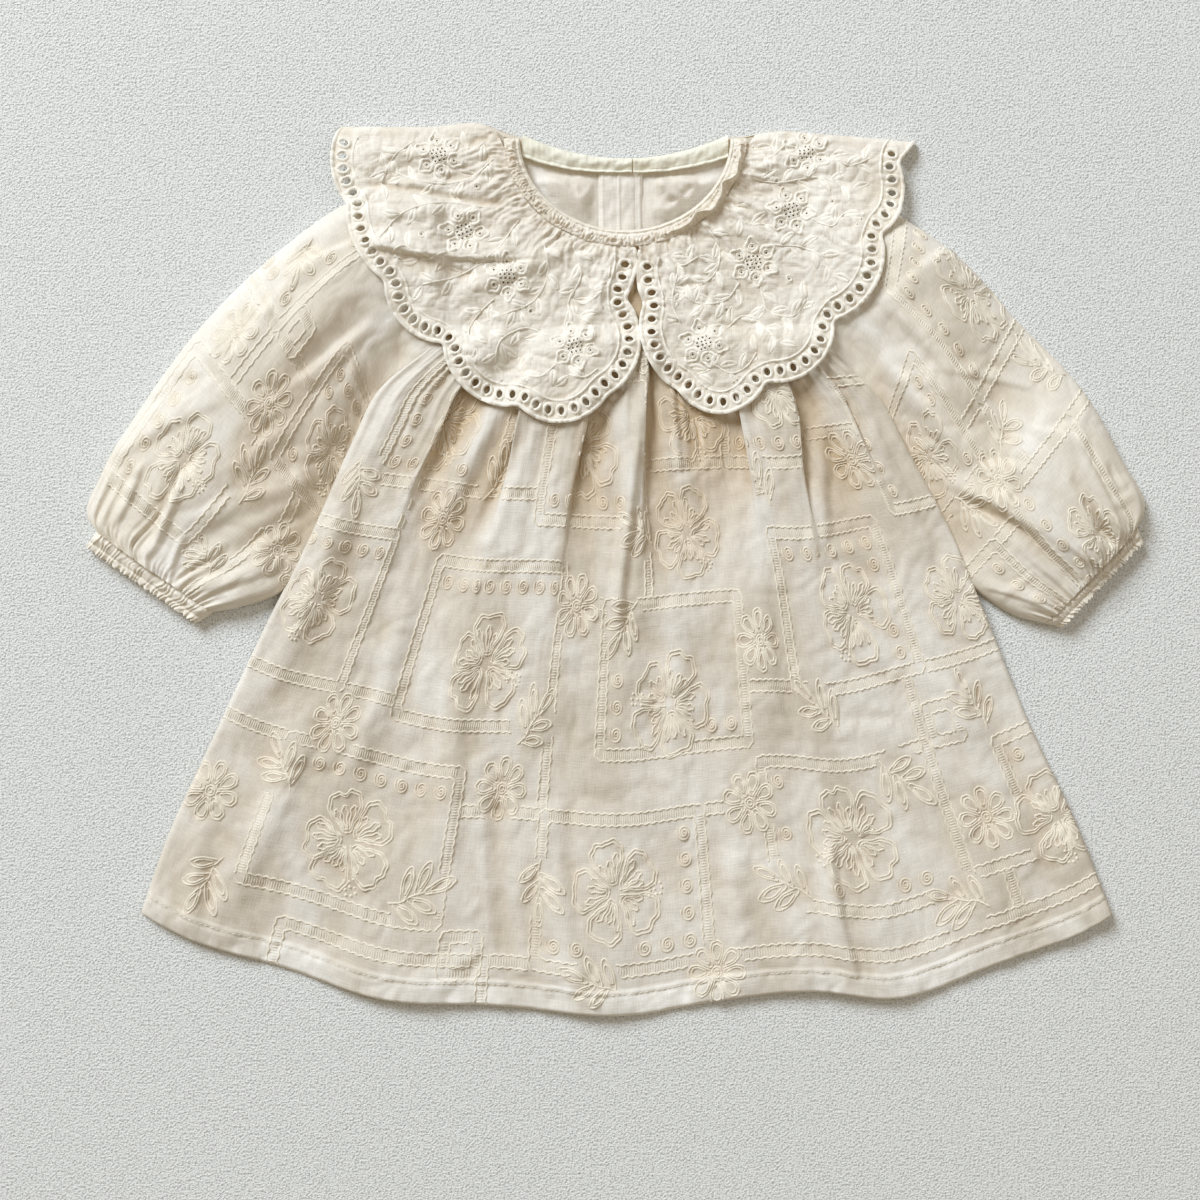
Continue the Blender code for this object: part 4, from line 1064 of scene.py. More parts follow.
def neck_arc(extra, count, start, end):
    """Points of the front neck's half ellipse, widened by extra, from the left shoulder (0) to the right
    (180)."""
    turn = np.radians(np.linspace(start, end, count))
    return NECK_CENTRE - (NECK_RADII + extra) * np.stack([np.cos(turn), np.sin(turn)], axis=1)


def back_neck(x, low, rise, power=2):
    """Height of the back neck's curve at x: lowest at the centre back."""
    return low + rise * np.abs((x - NECK_CENTRE[0]) / NECK_RADII[0]) ** power


def panel(top, foot, height):
    """Surface filled in between a top line and a foot line, with straight sides, at a height of its own."""
    left, right = even([top[0], foot[0]], 5), even([top[-1], foot[-1]], 5)

    def surface(u, v):
        flat = between_edges(u, v, top, foot, left, right)
        return np.dstack([flat, height(flat[..., 0], flat[..., 1], u, v)])

    return surface


def grid_piece(name, surface, columns, rows, size, material, flip=False, shade=None):
    """A sheet over shares of its width and length, with UVs in metres of the panel's size. Shade gives its
    painted shade at a share."""
    u, v = np.meshgrid(np.linspace(0, 1, columns), np.linspace(0, 1, rows))
    faces = quads(rows, columns)
    uv = np.stack([u.ravel() * size[0], (1 - v.ravel()) * size[1]], axis=1) * MM
    painted_shade = shade(u, v) if shade else np.zeros(u.size)
    faces = [faces[:, ::-1] if flip else faces]
    return new_piece(name, surface(u, v).reshape(-1, 3), faces, material, uv, painted_shade)


def front_yoke_height(x, y, u, v):
    """Level with small unevenness, and a little lower along the shoulders."""
    shoulder = soft(0, 0.10, np.minimum(u, 1 - u))
    return 4 + 1.3 * shoulder + 0.18 * uneven(x / 5, y / 6, 60) + 0.16 * uneven(u * 60, v * 2, 61)


yoke_corners = [(-55, 203.4), (-96, 189.3), (-90, 106.3), (103.4, 106.3), (104, 186.7), (65.5, 203.4)]
yoke_sides = [even(yoke_corners[k : k + 2], steps + 1)[:-1] for k, steps in enumerate((3, 5, 4, 5, 3))]
yoke_outer = np.concatenate([*yoke_sides, yoke_corners[-1:]])
yoke_surface = panel(neck_arc(7.8, 21, 4, 176), yoke_outer, front_yoke_height)
front_yoke = grid_piece("front_yoke_cloth", yoke_surface, 121, 31, (200, 100), shaded_lawn)


def back_yoke_height(x, y, u, v):
    """Soft folds inside the neck, as the cloth lies loose there, and level everywhere else."""
    away = np.linalg.norm((np.stack([x, y], axis=-1) - NECK_CENTRE) / NECK_RADII, axis=-1)
    inside = 1 - soft(0.75, 1.05, away)
    below_binding = 1 - soft(186, 192, y)
    inside = inside * soft(11, 20, np.abs(x - 3))
    folds = 2.3 * creases(x, y, BACK_FOLDS) + 1.4 * crumpled(x, y, 12, 62) + 0.6 * crumpled(x, y, 5, 69)
    return 2 + np.clip(2 + folds, -0.2, 5) * inside * below_binding + 0.10 * uneven(x / 5, y / 5, 63)


BACK_FOLDS = (
    (-36, 191, -10, 170, 4, 7, 2.2), (-22, 168, -8, 190, 3, 4, 1.5), (-42, 186, -28, 164, 3, 6, 1.4),
    (-30, 176, -12, 180, 2.5, 3.5, 0.9), (16, 188, 20, 164, 2, 5, 1.4), (22, 168, 48, 188, 5, 3, 2),
    (20, 188, 38, 174, 3, 4, 1.5), (30, 192, 46, 180, 3, 3, 1),
)
back_yokes = {}
for side_name, shoulder, neck_end, armhole_x, placket in (
    ("left", (-96, 189.3), (-45.5, 208.4), -90, -3),
    ("right", (104, 186.7), (56, 208.4), 103.4, 9),
):
    neck_x = np.linspace(neck_end[0], placket, 7)
    neck_line = np.stack([neck_x, np.minimum(back_neck(neck_x, 199, 12), neck_end[1])], axis=1)
    top_line = np.concatenate([even([shoulder, neck_line[0]], 6)[:-1], neck_line])
    foot_line = even([(armhole_x, YOKE_FOOT), (placket, YOKE_FOOT)], len(top_line))
    back_yokes[side_name] = grid_piece(
        f"back_yoke_{side_name}_cloth", panel(top_line, foot_line, back_yoke_height), 91, 91, (100, 95),
        painted_light_inside_lawn, flip=side_name == "right",
    )
    sewn_in(
        back_yokes[side_name], "embroidered_cotton", f"back_yoke_{side_name}",
        flat=(0.098, 0.100), held="laid", area=0.0075, rests_on=["board"],
    )


def placket_strip(left, right, top, base, lines):
    """A straight strip down the centre back: its folded edges are rounded, and pressed lines run down it."""
    def surface(u, v):
        x = left + (right - left) * u
        y = top + (YOKE_FOOT - top) * v
        z = base + 0.60 * rolled(np.minimum(u, 1 - u) * (right - left), 2.8)
        for line in lines:
            z = z + 0.42 * hump((x - line - 0.4 * uneven(y / 22, 0 * y, 65)) / 1.1)
        z = z + 0.7 * uneven(x / 8, y / 9, 66) + 0.3 * uneven(x / 3, y / 4, 68)
        return np.stack([x + 0.35 * uneven(y / 14, 0 * y, 67), y, z], axis=-1)

    return surface


under = list(back_yokes.values())
for strip, left, right, top, base, lines, length in (
    ("outer", -7.7, 13.7, 199, 2.15, (12.2,), 0.093),
    ("inner", -7.7, 9.9, 191.7, 2.65, (-5.8, 2.2), 0.086),
):
    surface = placket_strip(left, right, top, base, lines)
    placket = grid_piece(f"placket_{strip}_cloth", surface, 49, 81, (right - left, 90), painted_light_inside_lawn)
    flat = (round((right - left) * MM, 4), length)
    sewn_in(placket, "embroidered_cotton", f"placket_{strip}", flat=flat, held="folded", rests_on=under)
    under = [placket]
sewn_in(
    front_yoke, "embroidered_cotton", "front_yoke",
    flat=(0.202, 0.100), held="laid", area=0.0165, rests_on=list(back_yokes.values()),
)

# Mother-of-pearl button: pale, smooth and faintly clouded.
shell, shell_shader = new_material("mother_of_pearl", {"Roughness": 0.28, "Coat Weight": 0.4})
shell_inputs = {"Vector": add_node(shell, "TexCoord", "Object"), "Scale": 260}
shell_clouds = add_node(shell, "TexNoise", "Fac", shell_inputs)
set_inputs(shell_shader, {"Base Color": mixed(shell, shell_clouds, linear("#F3EFE6"), linear("#DDD3C2"))})
# Radius and height of its rounds, from the middle of the underside to the middle of the top.
BUTTON = np.array(
    [(0, 0.62), (2.6, 0.62), (3.1, 0.30), (3.9, 0.10), (4.4, 0.30), (4.5, 0.60), (4.4, 1), (0, 1.1)]
)
button_turn = np.linspace(0, 2 * np.pi, 33)[:-1]
for number, button_y in enumerate((186, 156, 126), start=1):
    rim_x, rim_y = 8.6 + BUTTON[:, :1] * np.cos(button_turn), button_y + BUTTON[:, :1] * np.sin(button_turn)
    rims = np.stack([rim_x, rim_y, np.repeat(BUTTON[:, 1:], 32, axis=1)], axis=-1).reshape(-1, 3)
    button = new_piece(f"back_button_{number}_shell", rims, [quads(len(BUTTON), 32, wraps=True)], shell)
    sewn_in(button, "shell_button", f"back_button_{number}")

# ---------------------------------------------------------------- the neck
# The back neck is bound inside with a yellowish bias tape, which ends at the opening. The front neck and the
# collar's gathers are held by a narrow ruched band with a corded edge, which stands up in a ruffle on one
# side.

# Cotton sateen tape: finer and smoother than the lawn.
tape = cotton_lawn("yellowish_bias_tape", "#F7F6E6", "#F0EED8", thread=1.6)
# The collar's and the band's lawn is bleached a little whiter than the dress.
openwork_lawn = cotton_lawn("openwork_cotton_lawn", "#F0E9DA", "#FAF5E9")


def binding_half(left, right):
    """The tape folded over the neck's edge: a roll along the top, level below it, a stitched edge at its
    foot."""
    def surface(u, v):
        x = left + (right - left) * u
        top, foot = back_neck(x, 199, 12), back_neck(x, 191.4, 8.2, 2.5)
        y = top + (foot - top) * v
        roll = rolled(v, 0.28)
        z = 2.2 + 2.6 * roll + 0.45 * hump((v - 0.95) / 0.07) - 0.3 * hump((v - 0.84) / 0.08)
        z = z + hump((v - 0.42) / 0.42) + 0.7 * uneven(x / 5.5 + v, v * 2, 70) * roll
        z = z + 0.3 * uneven(x / 2.2, v * 3, 71) * roll
        return np.stack([x, y + 0.25 * uneven(x / 9, 0 * x, 72), z], axis=-1)

    return surface


for side_name, left, right in (("left", -44.5, 8.3), ("right", 8.9, 54.7)):
    binding = grid_piece(
        f"neck_binding_{side_name}_tape", binding_half(left, right), 121, 25, (right - left, 8), tape
    )
    sewn_in(
        binding, "bias_binding", f"neck_binding_{side_name}",
        flat=((right - left) * MM * 1.04, 0.010), held="folded", rests_on=[back_yokes[side_name]],
    )


def neck_band_surface(u, v):
    """The ruched band: v runs from its inner corded lip to the collar's seam. Fine gathers cross it, on the
    right a second lip stands up and wanders, and both ends roll over the shoulders to the back."""
    turn = np.pi * u
    ruffle = soft(0.60, 0.70, u) * (1 - soft(0.93, 0.99, u))
    width = 7.4 + 0.5 * uneven(u * 16, 0 * u, 80)
    wander = (1.3 * np.sin(2 * np.pi * (u * 9 + 0.3)) + 2 * uneven(u * 22, 0 * u, 81)) * ruffle
    reach = v * width + wander * hump((v - 0.62) / 0.5)
    gather = np.sin(2 * np.pi * (u * 68 + 1.2 * uneven(u * 26, v * 0.7, 82)))
    ruche = hump((v - 0.62) / 0.62)
    z = 5 + 2.5 * soft(0, 0.10, v) - 0.9 * hump((v - 0.22) / 0.13) + 0.7 * ruche
    z = z + 0.28 * gather * ruche * (0.6 + 0.9 * uneven(u * 30, v * 2, 83))
    z = z + 0.9 * crumpled(u * 95, v * 2.4, 1, 86) * ruche
    z = z + ruffle * (3.2 * hump((v - 0.66) / 0.16) - 1.4 * hump((v - 0.40) / 0.14))
    flat = NECK_CENTRE - (NECK_RADII + reach[..., None]) * np.stack([np.cos(turn), np.sin(turn)], axis=-1)
    ends = rolled(np.minimum(u, 1 - u) * BAND_CLOTH[0], 5)
    return np.dstack([flat, 1.8 + (z - 1.8 + 0.4 * uneven(u * 60, v * 4, 84)) * ends])


def band_shade(u, v):
    """Painted shade on the ruching: darkest in its small pits and along the collar's seam."""
    pits = np.clip(0.6 * uneven(u * 95, v * 2.4, 86) + 0.12, 0, 0.45) * hump((v - 0.65) / 0.5)
    return np.maximum(pits, 0.3 * soft(0.8, 1, v))


BAND_CLOTH = (170, 8)
neck_band = grid_piece(
    "neck_band_cloth", neck_band_surface, 561, 21, BAND_CLOTH, openwork_lawn, shade=band_shade
)
cords = []
BAND_CORDS = ((0.5, 151.5, 190, 0.45, 1.25, 0.85), (93, 146, 80, 4.9, 0.9, 0.4))
for start, end, count, across, wide, high in BAND_CORDS:
    path = np.stack([np.linspace(start, end, count), np.full(count, across)], axis=1)[None]
    cords.append((path, wide, high, np.ones((1, count), bool)))
# Cloth places for the two cords are millimetres along the band's inner edge and across it.
band_cords = lay_cords(
    "neck_band_cords", cords, lambda x, y: neck_band_surface(x / 152, y / 7.4), cord_cotton
)
sewn_in(band_cords, "openwork_cotton")
sewn_in(
    neck_band, "openwork_cotton", "neck_band",
    flat=(0.20, 0.010), held="gathered", rests_on=[front_yoke], with_pieces=[band_cords],
)

# ---------------------------------------------------------------- the collar
# Two scalloped halves of openwork cotton, gathered at the neck. Their edges are bound in satin stitch over a
# cord, with a row of stitched eyelets inside it. Stars of pinholes, curving stems and satin leaves fill them.
# Each half folds over the shoulder and lies on under the back of the dress.

# Satin stitch: soft cotton laid close, with a faint sheen.
satin_looks = {"Roughness": 0.6, "Sheen Weight": 0.05, "Specular IOR Level": 0.25}
satin_cord = thread("satin_stitch_cotton", "#F2EDE0", satin_looks)
COLLARS = {
    # Out is the side's sign along x, turns are degrees round the neck, edge has the scallops' ends and how
    # far each bulges, and fold is the shoulder's line. Folds are rows for creases, stars a place and a turn,
    # stems a curve and its count of leaves, and berries the places of single pinholes.
    "left": {
        "out": -1, "turns": (94, 6), "seed": 90,
        "edge": [
            (10.2, 155, 0), (5.2, 130.4, 2.5), (-3.2, 83.6, 11.5), (-46.2, 78.7, 11), (-81.9, 108.7, 10.5),
            (-109.4, 137.7, 8.6), (-127.8, 175.3, 5.6), (-131.6, 214.6, 6.6),
        ],
        "fold": [(-54, 209.8), (-60.6, 214.6), (-89, 214.6), (-131.6, 214.6)],
        "folds": (
            (-124, 182, -45, 178, 3, 2.2, -2.2), (-120, 172, -50, 167.5, 7, 8, 1.7),
            (-122, 157.5, -34, 149, 11, 2, 3.4), (-118, 150, -62, 143, 3, 9, -1.8),
            (-18, 161, -78, 130.5, 8, 6.5, 2.6), (-5, 157, -12, 108, 7, 7, 1.9),
            (-28, 152, -58, 112, 5, 8, 1.3), (-60, 196, -126, 200, 7, 7, 1.6),
            (-52, 187, -92, 190, 2.5, 3, -0.9), (-10, 128, -34, 84, 8, 9, 1.2), (-84, 128, -58, 96, 7, 8, 1),
        ),
        "stars": [(-84.3, 199, 10), (-72.2, 162.5, 24), (-51.4, 140.5, 2), (-19, 107, 14)],
        "stems": [
            ([(-58, 198), (-66, 190), (-92, 186), (-108, 192)], 8),
            ([(-96, 206), (-106, 198), (-112, 186)], 5), ([(-62, 206), (-68, 202), (-76, 207)], 3),
            ([(-62, 174), (-82, 176), (-104, 168), (-112, 158)], 8),
            ([(-80, 152), (-92, 148), (-100, 154), (-108, 150)], 6),
            ([(-46, 168), (-58, 152), (-78, 140), (-92, 136)], 9),
            ([(-34, 158), (-32, 142), (-38, 130), (-54, 122)], 8),
            ([(-20, 156), (-16, 142), (-22, 126), (-12, 118)], 8),
            ([(-58, 130), (-66, 122), (-70, 114), (-66, 106)], 6),
            ([(-32, 112), (-42, 116), (-54, 110), (-58, 98)], 7),
            ([(-28, 98), (-36, 92), (-44, 94), (-46, 102)], 5), ([(-2, 146), (-4, 136), (-10, 130)], 4),
            ([(-8, 96), (-14, 92), (-22, 93)], 3),
        ],
        "berries": [(-66, 184), (-40, 124), (-36, 127.5), (-28, 136), (-92, 160)],
    },
    "right": {
        "out": 1, "turns": (96, 174), "seed": 100,
        "edge": [
            (11.9, 154.6, 0), (14.2, 128, 3), (29.9, 86.9, 8.4), (72.7, 89.8, 13.6), (105.1, 119.8, 10.9),
            (126.5, 159.4, 9.6), (136.6, 195.6, 6.9), (145.6, 207.2, 0),
        ],
        "fold": [(64.2, 209.8), (73.7, 212), (103, 210.8), (145.6, 207.2)],
        "folds": (
            (42, 180, 96, 188, 7, 8, -1.6), (60, 192, 108, 208, 4, 4, 1.4), (62, 183, 124, 196, 4, 5, 1.3),
            (54, 172, 92, 176, 3, 4, 1.1), (46, 166, 84, 158, 4, 6, 1.2), (32, 160, 60, 130, 6, 8, 1.3),
            (20, 158, 28, 112, 7, 7, 1.6), (96, 166, 122, 150, 6, 8, 1), (66, 124, 86, 100, 8, 8, 1.2),
            (38, 112, 48, 84, 8, 8, 1),
        ),
        "stars": [(92, 200.5, 4), (84.8, 172.5, 20), (66.9, 147.8, 8), (42.7, 108.7, 16)],
        "stems": [
            ([(66, 204), (74, 198), (82, 204)], 4), ([(102, 200), (112, 194), (124, 198)], 6),
            ([(66, 188), (76, 186), (98, 188), (114, 182)], 9), ([(56, 176), (64, 166), (72, 166)], 4),
            ([(94, 168), (104, 164), (110, 170), (116, 164)], 6),
            ([(76, 156), (92, 154), (102, 146), (106, 136)], 8),
            ([(44, 164), (50, 156), (48, 142), (36, 134)], 8),
            ([(60, 138), (54, 130), (40, 128), (30, 134)], 8),
            ([(70, 136), (74, 124), (86, 122), (92, 130)], 7),
            ([(54, 116), (62, 122), (72, 116), (78, 108)], 7),
            ([(48, 98), (56, 94), (64, 98), (68, 104)], 5), ([(32, 118), (28, 126), (30, 142)], 5),
            ([(26, 152), (32, 146), (40, 150)], 4), ([(34, 98), (38, 94), (46, 96)], 3),
        ],
        "berries": [(78, 186.5), (104, 176), (54, 124.5), (50.5, 127.5), (84, 140)],
    },
}
MESH_STEP = 0.52


def scallops(rows, side, fine=16):
    """A line of arcs through the rows' points, each bulging by its row's third value to the given side."""
    rows = np.asarray(rows, float)
    t = np.linspace(0, 1, fine, endpoint=False)[:, None]
    pieces = []
    for start, end in zip(rows[:-1], rows[1:]):
        along = end[:2] - start[:2]
        out = np.array([along[1], -along[0]]) / np.linalg.norm(along) * side
        pieces.append(start[:2] + along * t + out * end[2] * (4 * t * (1 - t)) ** 0.8)
    return np.concatenate([*pieces, rows[-1:, :2]])


def nearest_on(points, line):
    """For each point, the nearest place on a line of segments, its distance, and whether it is inside the
    line taken as a closed loop: whether a ray to the right crosses it an odd number of times."""
    starts, ways = line[:-1], np.diff(line, axis=0)
    found = []
    for block in np.array_split(points, max(len(points) // 5000, 1)):
        gap = block[:, None] - starts
        t = np.clip((gap * ways).sum(axis=2) / ((ways**2).sum(axis=1) + 1e-12), 0, 1)
        place = starts + ways * t[..., None]
        reach = np.linalg.norm(block[:, None] - place, axis=2)
        pick = reach.argmin(axis=1)
        rows = np.arange(len(block))
        below = (starts[:, 1] <= block[:, 1:]) != (starts[:, 1] + ways[:, 1] <= block[:, 1:])
        rise = np.where(ways[:, 1] == 0, 1, ways[:, 1])
        crossing = starts[:, 0] + (block[:, 1:] - starts[:, 1]) / rise * ways[:, 0]
        inside = ((below & (crossing > block[:, :1])).sum(axis=1) % 2).astype(float)
        found.append(np.column_stack([place[rows, pick], reach[rows, pick], inside]))
    found = np.concatenate(found)
    return found[:, :2], found[:, 2], found[:, 3] > 0.5


def inset(line, depth, side):
    """A line moved inwards, square to itself, and evened out."""
    along = unit(np.gradient(line, axis=0))
    moved = line - np.stack([along[:, 1], -along[:, 0]], axis=1) * side * depth
    kernel = np.hanning(9) / np.hanning(9).sum()
    padded = (np.pad(column, 4, mode="edge") for column in moved.T)
    return np.stack([np.convolve(column, kernel, mode="valid") for column in padded], axis=1)


def openwork(outline, holes, pins):
    """A fine square mesh cut to an outline, with oval holes (x, y, angle, half length, half width) and
    pinholes. Cells outside are dropped, and the points along each cut are moved on to it."""
    low = outline.min(axis=0) - MESH_STEP
    count = np.ceil((outline.max(axis=0) - low) / MESH_STEP).astype(int) + 2
    across, up = low[0] + MESH_STEP * np.arange(count[0]), low[1] + MESH_STEP * np.arange(count[1])[::-1]
    x, y = np.meshgrid(across, up)
    points = np.stack([x.ravel(), y.ravel()], axis=1)
    place, reach, inside = nearest_on(points, outline)
    kept = inside | (reach < MESH_STEP / 2)
    points = np.where((reach < MESH_STEP / 2)[:, None], place, points)
    for hole_x, hole_y, angle, long, short in holes:
        near = np.flatnonzero(np.hypot(points[:, 0] - hole_x, points[:, 1] - hole_y) < long + 2 * MESH_STEP)
        spin = np.array([[np.cos(angle), -np.sin(angle)], [np.sin(angle), np.cos(angle)]])
        local = (points[near] - (hole_x, hole_y)) @ spin / (long, short)
        radius = np.linalg.norm(local, axis=1)
        past = (radius - 1) * short
        kept[near] &= past > -MESH_STEP / 2
        rim = (np.abs(past) < MESH_STEP / 2) & (radius > 0)
        points[near[rim]] = (local[rim] / radius[rim, None] * (long, short)) @ spin.T + (hole_x, hole_y)
    faces = quads(count[1], count[0])
    whole = kept[faces].all(axis=1)
    columns = np.round((pins[:, 0] - low[0]) / MESH_STEP).astype(int)
    rows = count[1] - 1 - np.round((pins[:, 1] - low[1]) / MESH_STEP).astype(int)
    middle = rows * count[0] + columns
    whole &= ~np.isin(faces, middle).any(axis=1)
    for down, right in ((-1, -1), (-1, 0), (-1, 1), (0, -1), (0, 1), (1, -1), (1, 0), (1, 1)):
        away = np.array([right, -down]) / np.hypot(down, right)
        points[middle + down * count[0] + right] = points[middle] + 0.46 * away
    used, compact = np.unique(faces[whole], return_inverse=True)
    return points[used], compact.reshape(-1, 4)


def highest(pieces, low, high, cell=2):
    """The height of whatever is highest under each place of a box, widened and smoothed, as a function."""
    size = np.ceil((high - low) / cell).astype(int) + 1
    top = np.zeros(size)
    for piece in pieces:
        co = points_of(piece)
        at = np.round((co[:, :2] - low) / cell).astype(int)
        within = ((at >= 0) & (at < size)).all(axis=1)
        np.maximum.at(top, tuple(at[within].T), co[within, 2])
    for axis in (0, 1):
        top = np.maximum.reduce([np.roll(top, shift, axis=axis) for shift in (-2, -1, 0, 1, 2)])
    top = smoothed(top, 3)
    return lambda x, y: between_cells(top, (x - low[0]) / cell, (y - low[1]) / cell)


def star(x, y, turn):
    """A pinholed middle and six petals, each round a pinhole: the pins, and the stitched lines."""
    grid = [(c - (n - 1) / 2, r) for r, n in ((-1.5, 3), (-0.5, 4), (0.5, 4), (1.5, 3)) for c in range(n)]
    middle = np.array(grid) * (2.1, 1.8)
    around = np.radians(60 * np.arange(6) + 30)
    petals = np.stack([np.cos(around), np.sin(around)], axis=1) * 7.6
    pins = turned(np.concatenate([middle, petals]), turn, (x, y))
    half = np.array([(4.9, 0.9), (6.2, 2.6), (8.4, 3.2), (9.6, 2), (12, 0.25)])
    petal = rounded(np.concatenate([half, (half * (1, -1))[::-1], half[:1]]), 27)
    outlines = np.stack([turned(petal, np.degrees(a) + turn, (x, y)) for a in around])
    return pins, outlines


support = highest(
    [front_skirt, skirt_embroidery, front_yoke, *sleeves.values()], np.array([-150, 60]), np.array([160, 225])
)
for side_name, data in COLLARS.items():
    out, seed = data["out"], data["seed"]
    edge = even(scallops(data["edge"], out), 280)
    fold = rounded(data["fold"], 40)
    neck = neck_arc(7.4, 70, *data["turns"])
    outline = np.concatenate([neck, fold[2:], edge[::-1][1:], neck[:1]])

    def crinkles(x, y):
        """Heights of the gathers, folds and crumples, and how far a place is from the neck."""
        across, up = (x - NECK_CENTRE[0]) / 58.4, (y - NECK_CENTRE[1]) / 52.9
        reach = (np.hypot(across, up) - 1) * 55
        turn = np.arctan2(across, -up) + 4
        turn = turn + 0.04 * uneven(x / 16, y / 16, seed + 7)
        near = 1 - soft(6, 40, reach)
        z = 1.6 * uneven(turn * 11, reach / 22, seed) * near
        z = z + 1.3 * uneven(turn * 25, reach / 13, seed + 1) * near**2
        z = z + 1.1 * uneven(turn * 42, reach / 4, seed + 5) * (1 - soft(3, 10, reach))
        z = z + uneven(turn * 7, reach / 28, seed + 2) * soft(4, 20, reach)
        z = z + 1.05 * creases(x, y, data["folds"]) * soft(0, 6, reach)
        z = 0.76 * z + 0.5 * crumpled(turn * 62, reach, 9, seed + 3)
        z = z + 0.6 * crumpled(turn * 62, reach / 2, 4.4, seed + 8)
        z = z + 0.28 * crumpled(x, y, 3.8, seed + 4) - 0.6
        z = np.where(z < 0, 1.8 * np.tanh(z / 1.8), z)
        return z * soft(-2, 3, reach), reach

    def collar_surface(x, y):
        """The collar's height over the board: it rests on what is under it, is crinkled, and rolls down over
        the shoulder."""
        folds, reach = crinkles(x, y)
        z = 7.4 + (np.maximum(support(x, y) + 1.2, 7.8) - 7.4) * soft(-2, 14, reach) + folds
        drop = np.interp(x, *fold[::out].T) - y
        roll = 0.6 * rolled(drop, 4.6) + 0.4 * np.sin(np.clip(drop / 20, 0, 1) * np.pi / 2)
        return np.stack([x, y, 0.8 + (z - 0.8) * roll], axis=-1)

    # Eyelets stand 6.15 mm apart on a line inside the scallops.
    row_line = inset(edge, 5.7, out)
    row = even(row_line, int(steps_of(row_line).sum() / 6.15))
    row_way = np.gradient(row, axis=0)[1:-1]
    row, row_angle = row[1:-1], np.arctan2(row_way[:, 0], -row_way[:, 1])
    clear = (nearest_on(row, fold)[1] > 5) & (nearest_on(row, neck)[1] > 5)
    row, row_angle = row[clear], row_angle[clear]
    holes = [(x, y, angle, 1.95, 1.50) for (x, y), angle in zip(row, row_angle)]
    made = [star(*place) for place in data["stars"]]
    berries = np.array(data["berries"])
    pins = np.concatenate([pins for pins, _ in made] + [berries])
    flat, faces = openwork(outline, holes, pins)

    # The half under the back of the dress: level, with five scallops of its own.
    angles = np.radians(np.linspace(0, -90, 6))
    knots = np.stack([out * np.cos(angles), np.sin(angles)], axis=1) * (132, 90) + NECK_CENTRE
    knots[0] = fold[-1]
    knots[-1, 0] = 8.6 + out * 10
    back_outer = even(scallops(np.hstack([knots, np.full((6, 1), 7)]), out), 121)
    back_x = fold[0, 0] + (8.6 + out * 8 - fold[0, 0]) * np.linspace(0, 1, 121)
    back_top = np.stack([back_x, np.minimum(back_neck(back_x, 198, 12), fold[0, 1])], axis=1)
    u, v = np.meshgrid(np.linspace(0, 1, 91), np.linspace(0, 1, 31))
    back_flat = between_edges(u, v, back_top, back_outer, fold, even([back_top[-1], back_outer[-1]], 31))
    back_z = 0.35 + 0.45 * (1 - soft(0, 0.05, u))
    back_z = back_z + 0.08 * uneven(back_flat[..., 0] / 7, back_flat[..., 1] / 7, 110)
    back_points = np.dstack([back_flat, back_z]).reshape(-1, 3)
    all_points = np.concatenate([collar_surface(flat[:, 0], flat[:, 1]), back_points])

    def collar_shade(x, y):
        """The collar's painted shade: a little in its folds, and more in the gathers at the neck."""
        folds, reach = crinkles(x, y)
        pits = uneven(x / 2.5, y / 2.5, 98) > 0.1
        return np.clip(-folds / 3.8, 0, 0.38) + 0.22 * (1 - soft(2, 9, reach)) * pits

    # The half under the back of the dress takes an even painted shade.
    painted_shade = np.concatenate([collar_shade(flat[:, 0], flat[:, 1]), np.full(len(back_points), 0.2)])
    faces = [faces, quads(31, 91)[:, ::out] + len(flat)]
    collar = new_piece(
        f"collar_{side_name}_cloth", all_points, faces, openwork_lawn, all_points[:, :2] * MM, painted_shade
    )

    def keep(paths, depth):
        """Which points lie at least a depth inside the scalloped edge and clear of the outline."""
        spots = paths.reshape(-1, 2)
        _, gap, inside = nearest_on(spots, outline)
        near_edge = nearest_on(spots, edge)[1]
        return (inside & (gap > 1) & (near_edge > depth)).reshape(paths.shape[:-1])

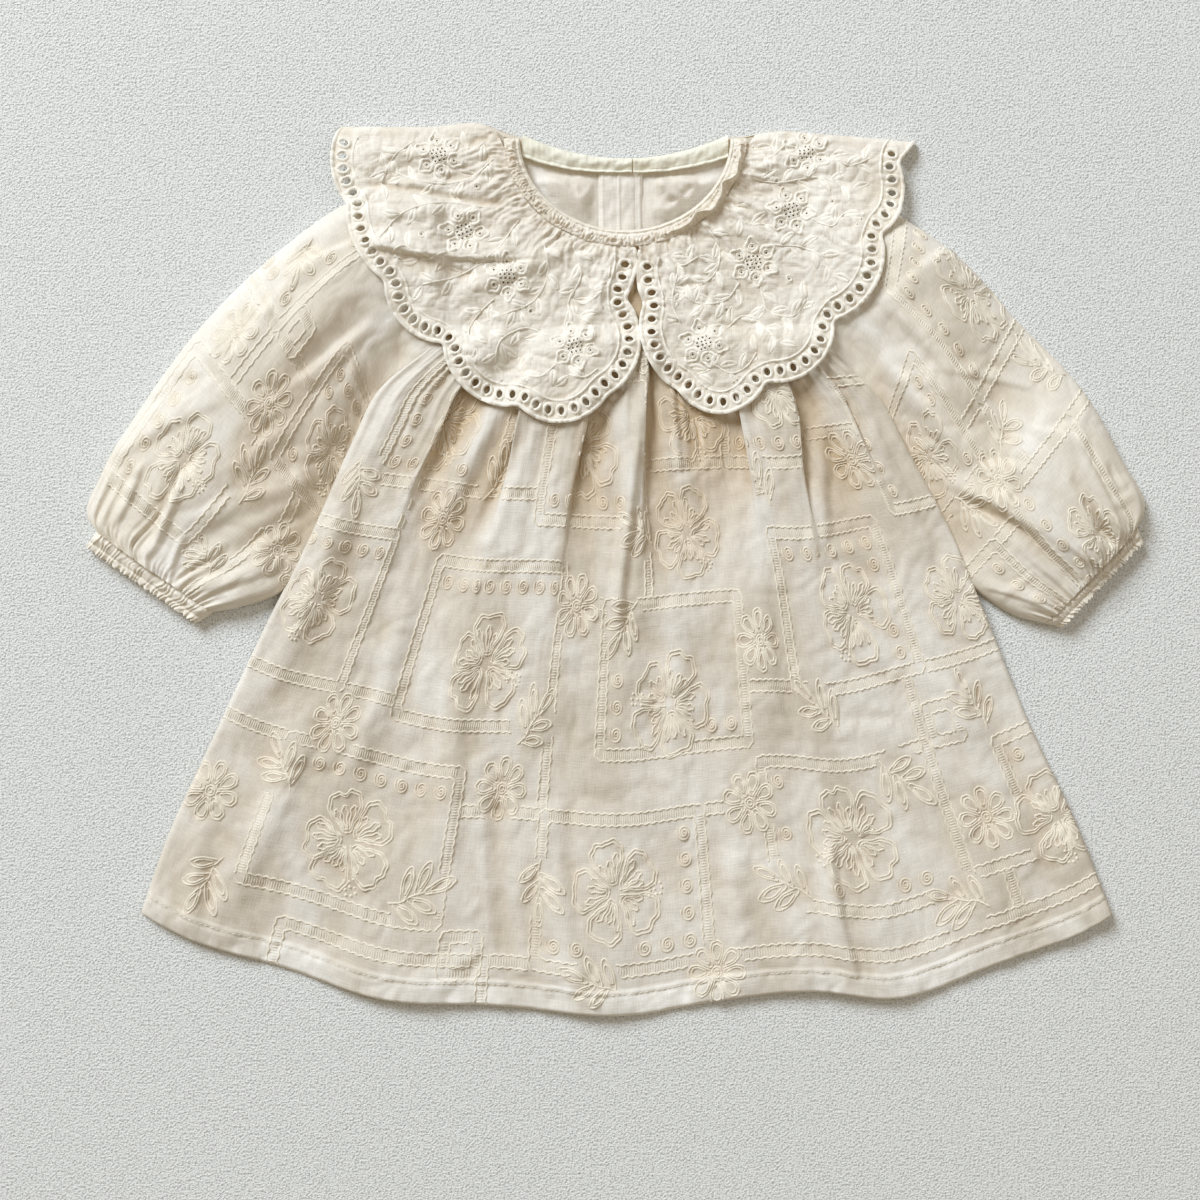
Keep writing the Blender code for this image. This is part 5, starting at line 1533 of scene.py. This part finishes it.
    rim, second = (even(inset(edge, depth, out), 520)[None] for depth in (0.75, 10.6))
    ring = np.linspace(0, 2 * np.pi, 17)
    oval = np.stack([np.cos(ring) * 2.75, np.sin(ring) * 2.25], axis=1)
    ovals = np.stack([turned(oval, np.degrees(angle), place) for place, angle in zip(row, row_angle)])
    small = np.stack([np.cos(ring[::2]), np.sin(ring[::2])], axis=1)
    pin_size = np.concatenate([np.tile([0.9] * 14 + [1.4] * 6, len(made)), np.full(len(berries), 1.5)])
    pin_rings = pins[:, None] + small * pin_size[:, None, None]
    outlines = np.concatenate([lines for _, lines in made])
    bundles = [
        # paths on the collar, their width and height, and which of their points are kept
        (rim, 1.9, 0.95, np.ones(rim.shape[:2], bool)),
        (second, 1.3, 0.85, keep(second, 7)),
        (ovals, 1.75, 1, np.ones(ovals.shape[:2], bool)),
        (pin_rings, 0.72, 0.42, keep(pin_rings, 9)),
        (outlines, 1.5, 0.85, keep(outlines, 9)),
    ]
    blades = []
    bow = np.sin(np.linspace(0, np.pi, 9))
    for points, leaf_count in data["stems"]:
        stem = rounded(points, 60)
        stem_path = even(stem, 45)[None]
        bundles.append((stem_path, 1, 0.6, keep(stem_path, 11.8)))
        at = np.linspace(5, 59, leaf_count).astype(int)
        way = np.gradient(stem, axis=0)[at]
        heading = np.degrees(np.arctan2(way[:, 1], way[:, 0])) + 44 * (-1) ** np.arange(leaf_count)
        for vein in (-0.35, 1.65):  # the two halves of each leaf, with its vein between them
            blade = np.stack([np.linspace(0.3, 9.2, 9), vein * bow], axis=1)
            blades += [turned(blade, turn, stem[k]) for turn, k in zip(heading, at)]
    leaves = np.stack(blades)
    fat = np.interp(np.linspace(0, 1, 9), (0, 0.15, 0.5, 0.85, 1), (0.4, 1.5, 2.2, 1.3, 0.35))
    bundles.append((leaves, fat, 0.65 * np.sqrt(fat / 2.2), keep(leaves, 11.9)))
    stitched = lay_cords(
        f"collar_{side_name}_stitching", bundles, collar_surface, satin_cord, handed=-1, shade=collar_shade
    )
    sewn_in(stitched, "openwork_cotton")
    sewn_in(
        collar, "openwork_cotton", f"collar_{side_name}",
        flat=(0.30, 0.125), held="gathered", area=0.0245,
        rests_on=[front_skirt, sleeves[side_name], front_yoke], with_pieces=[stitched],
    )
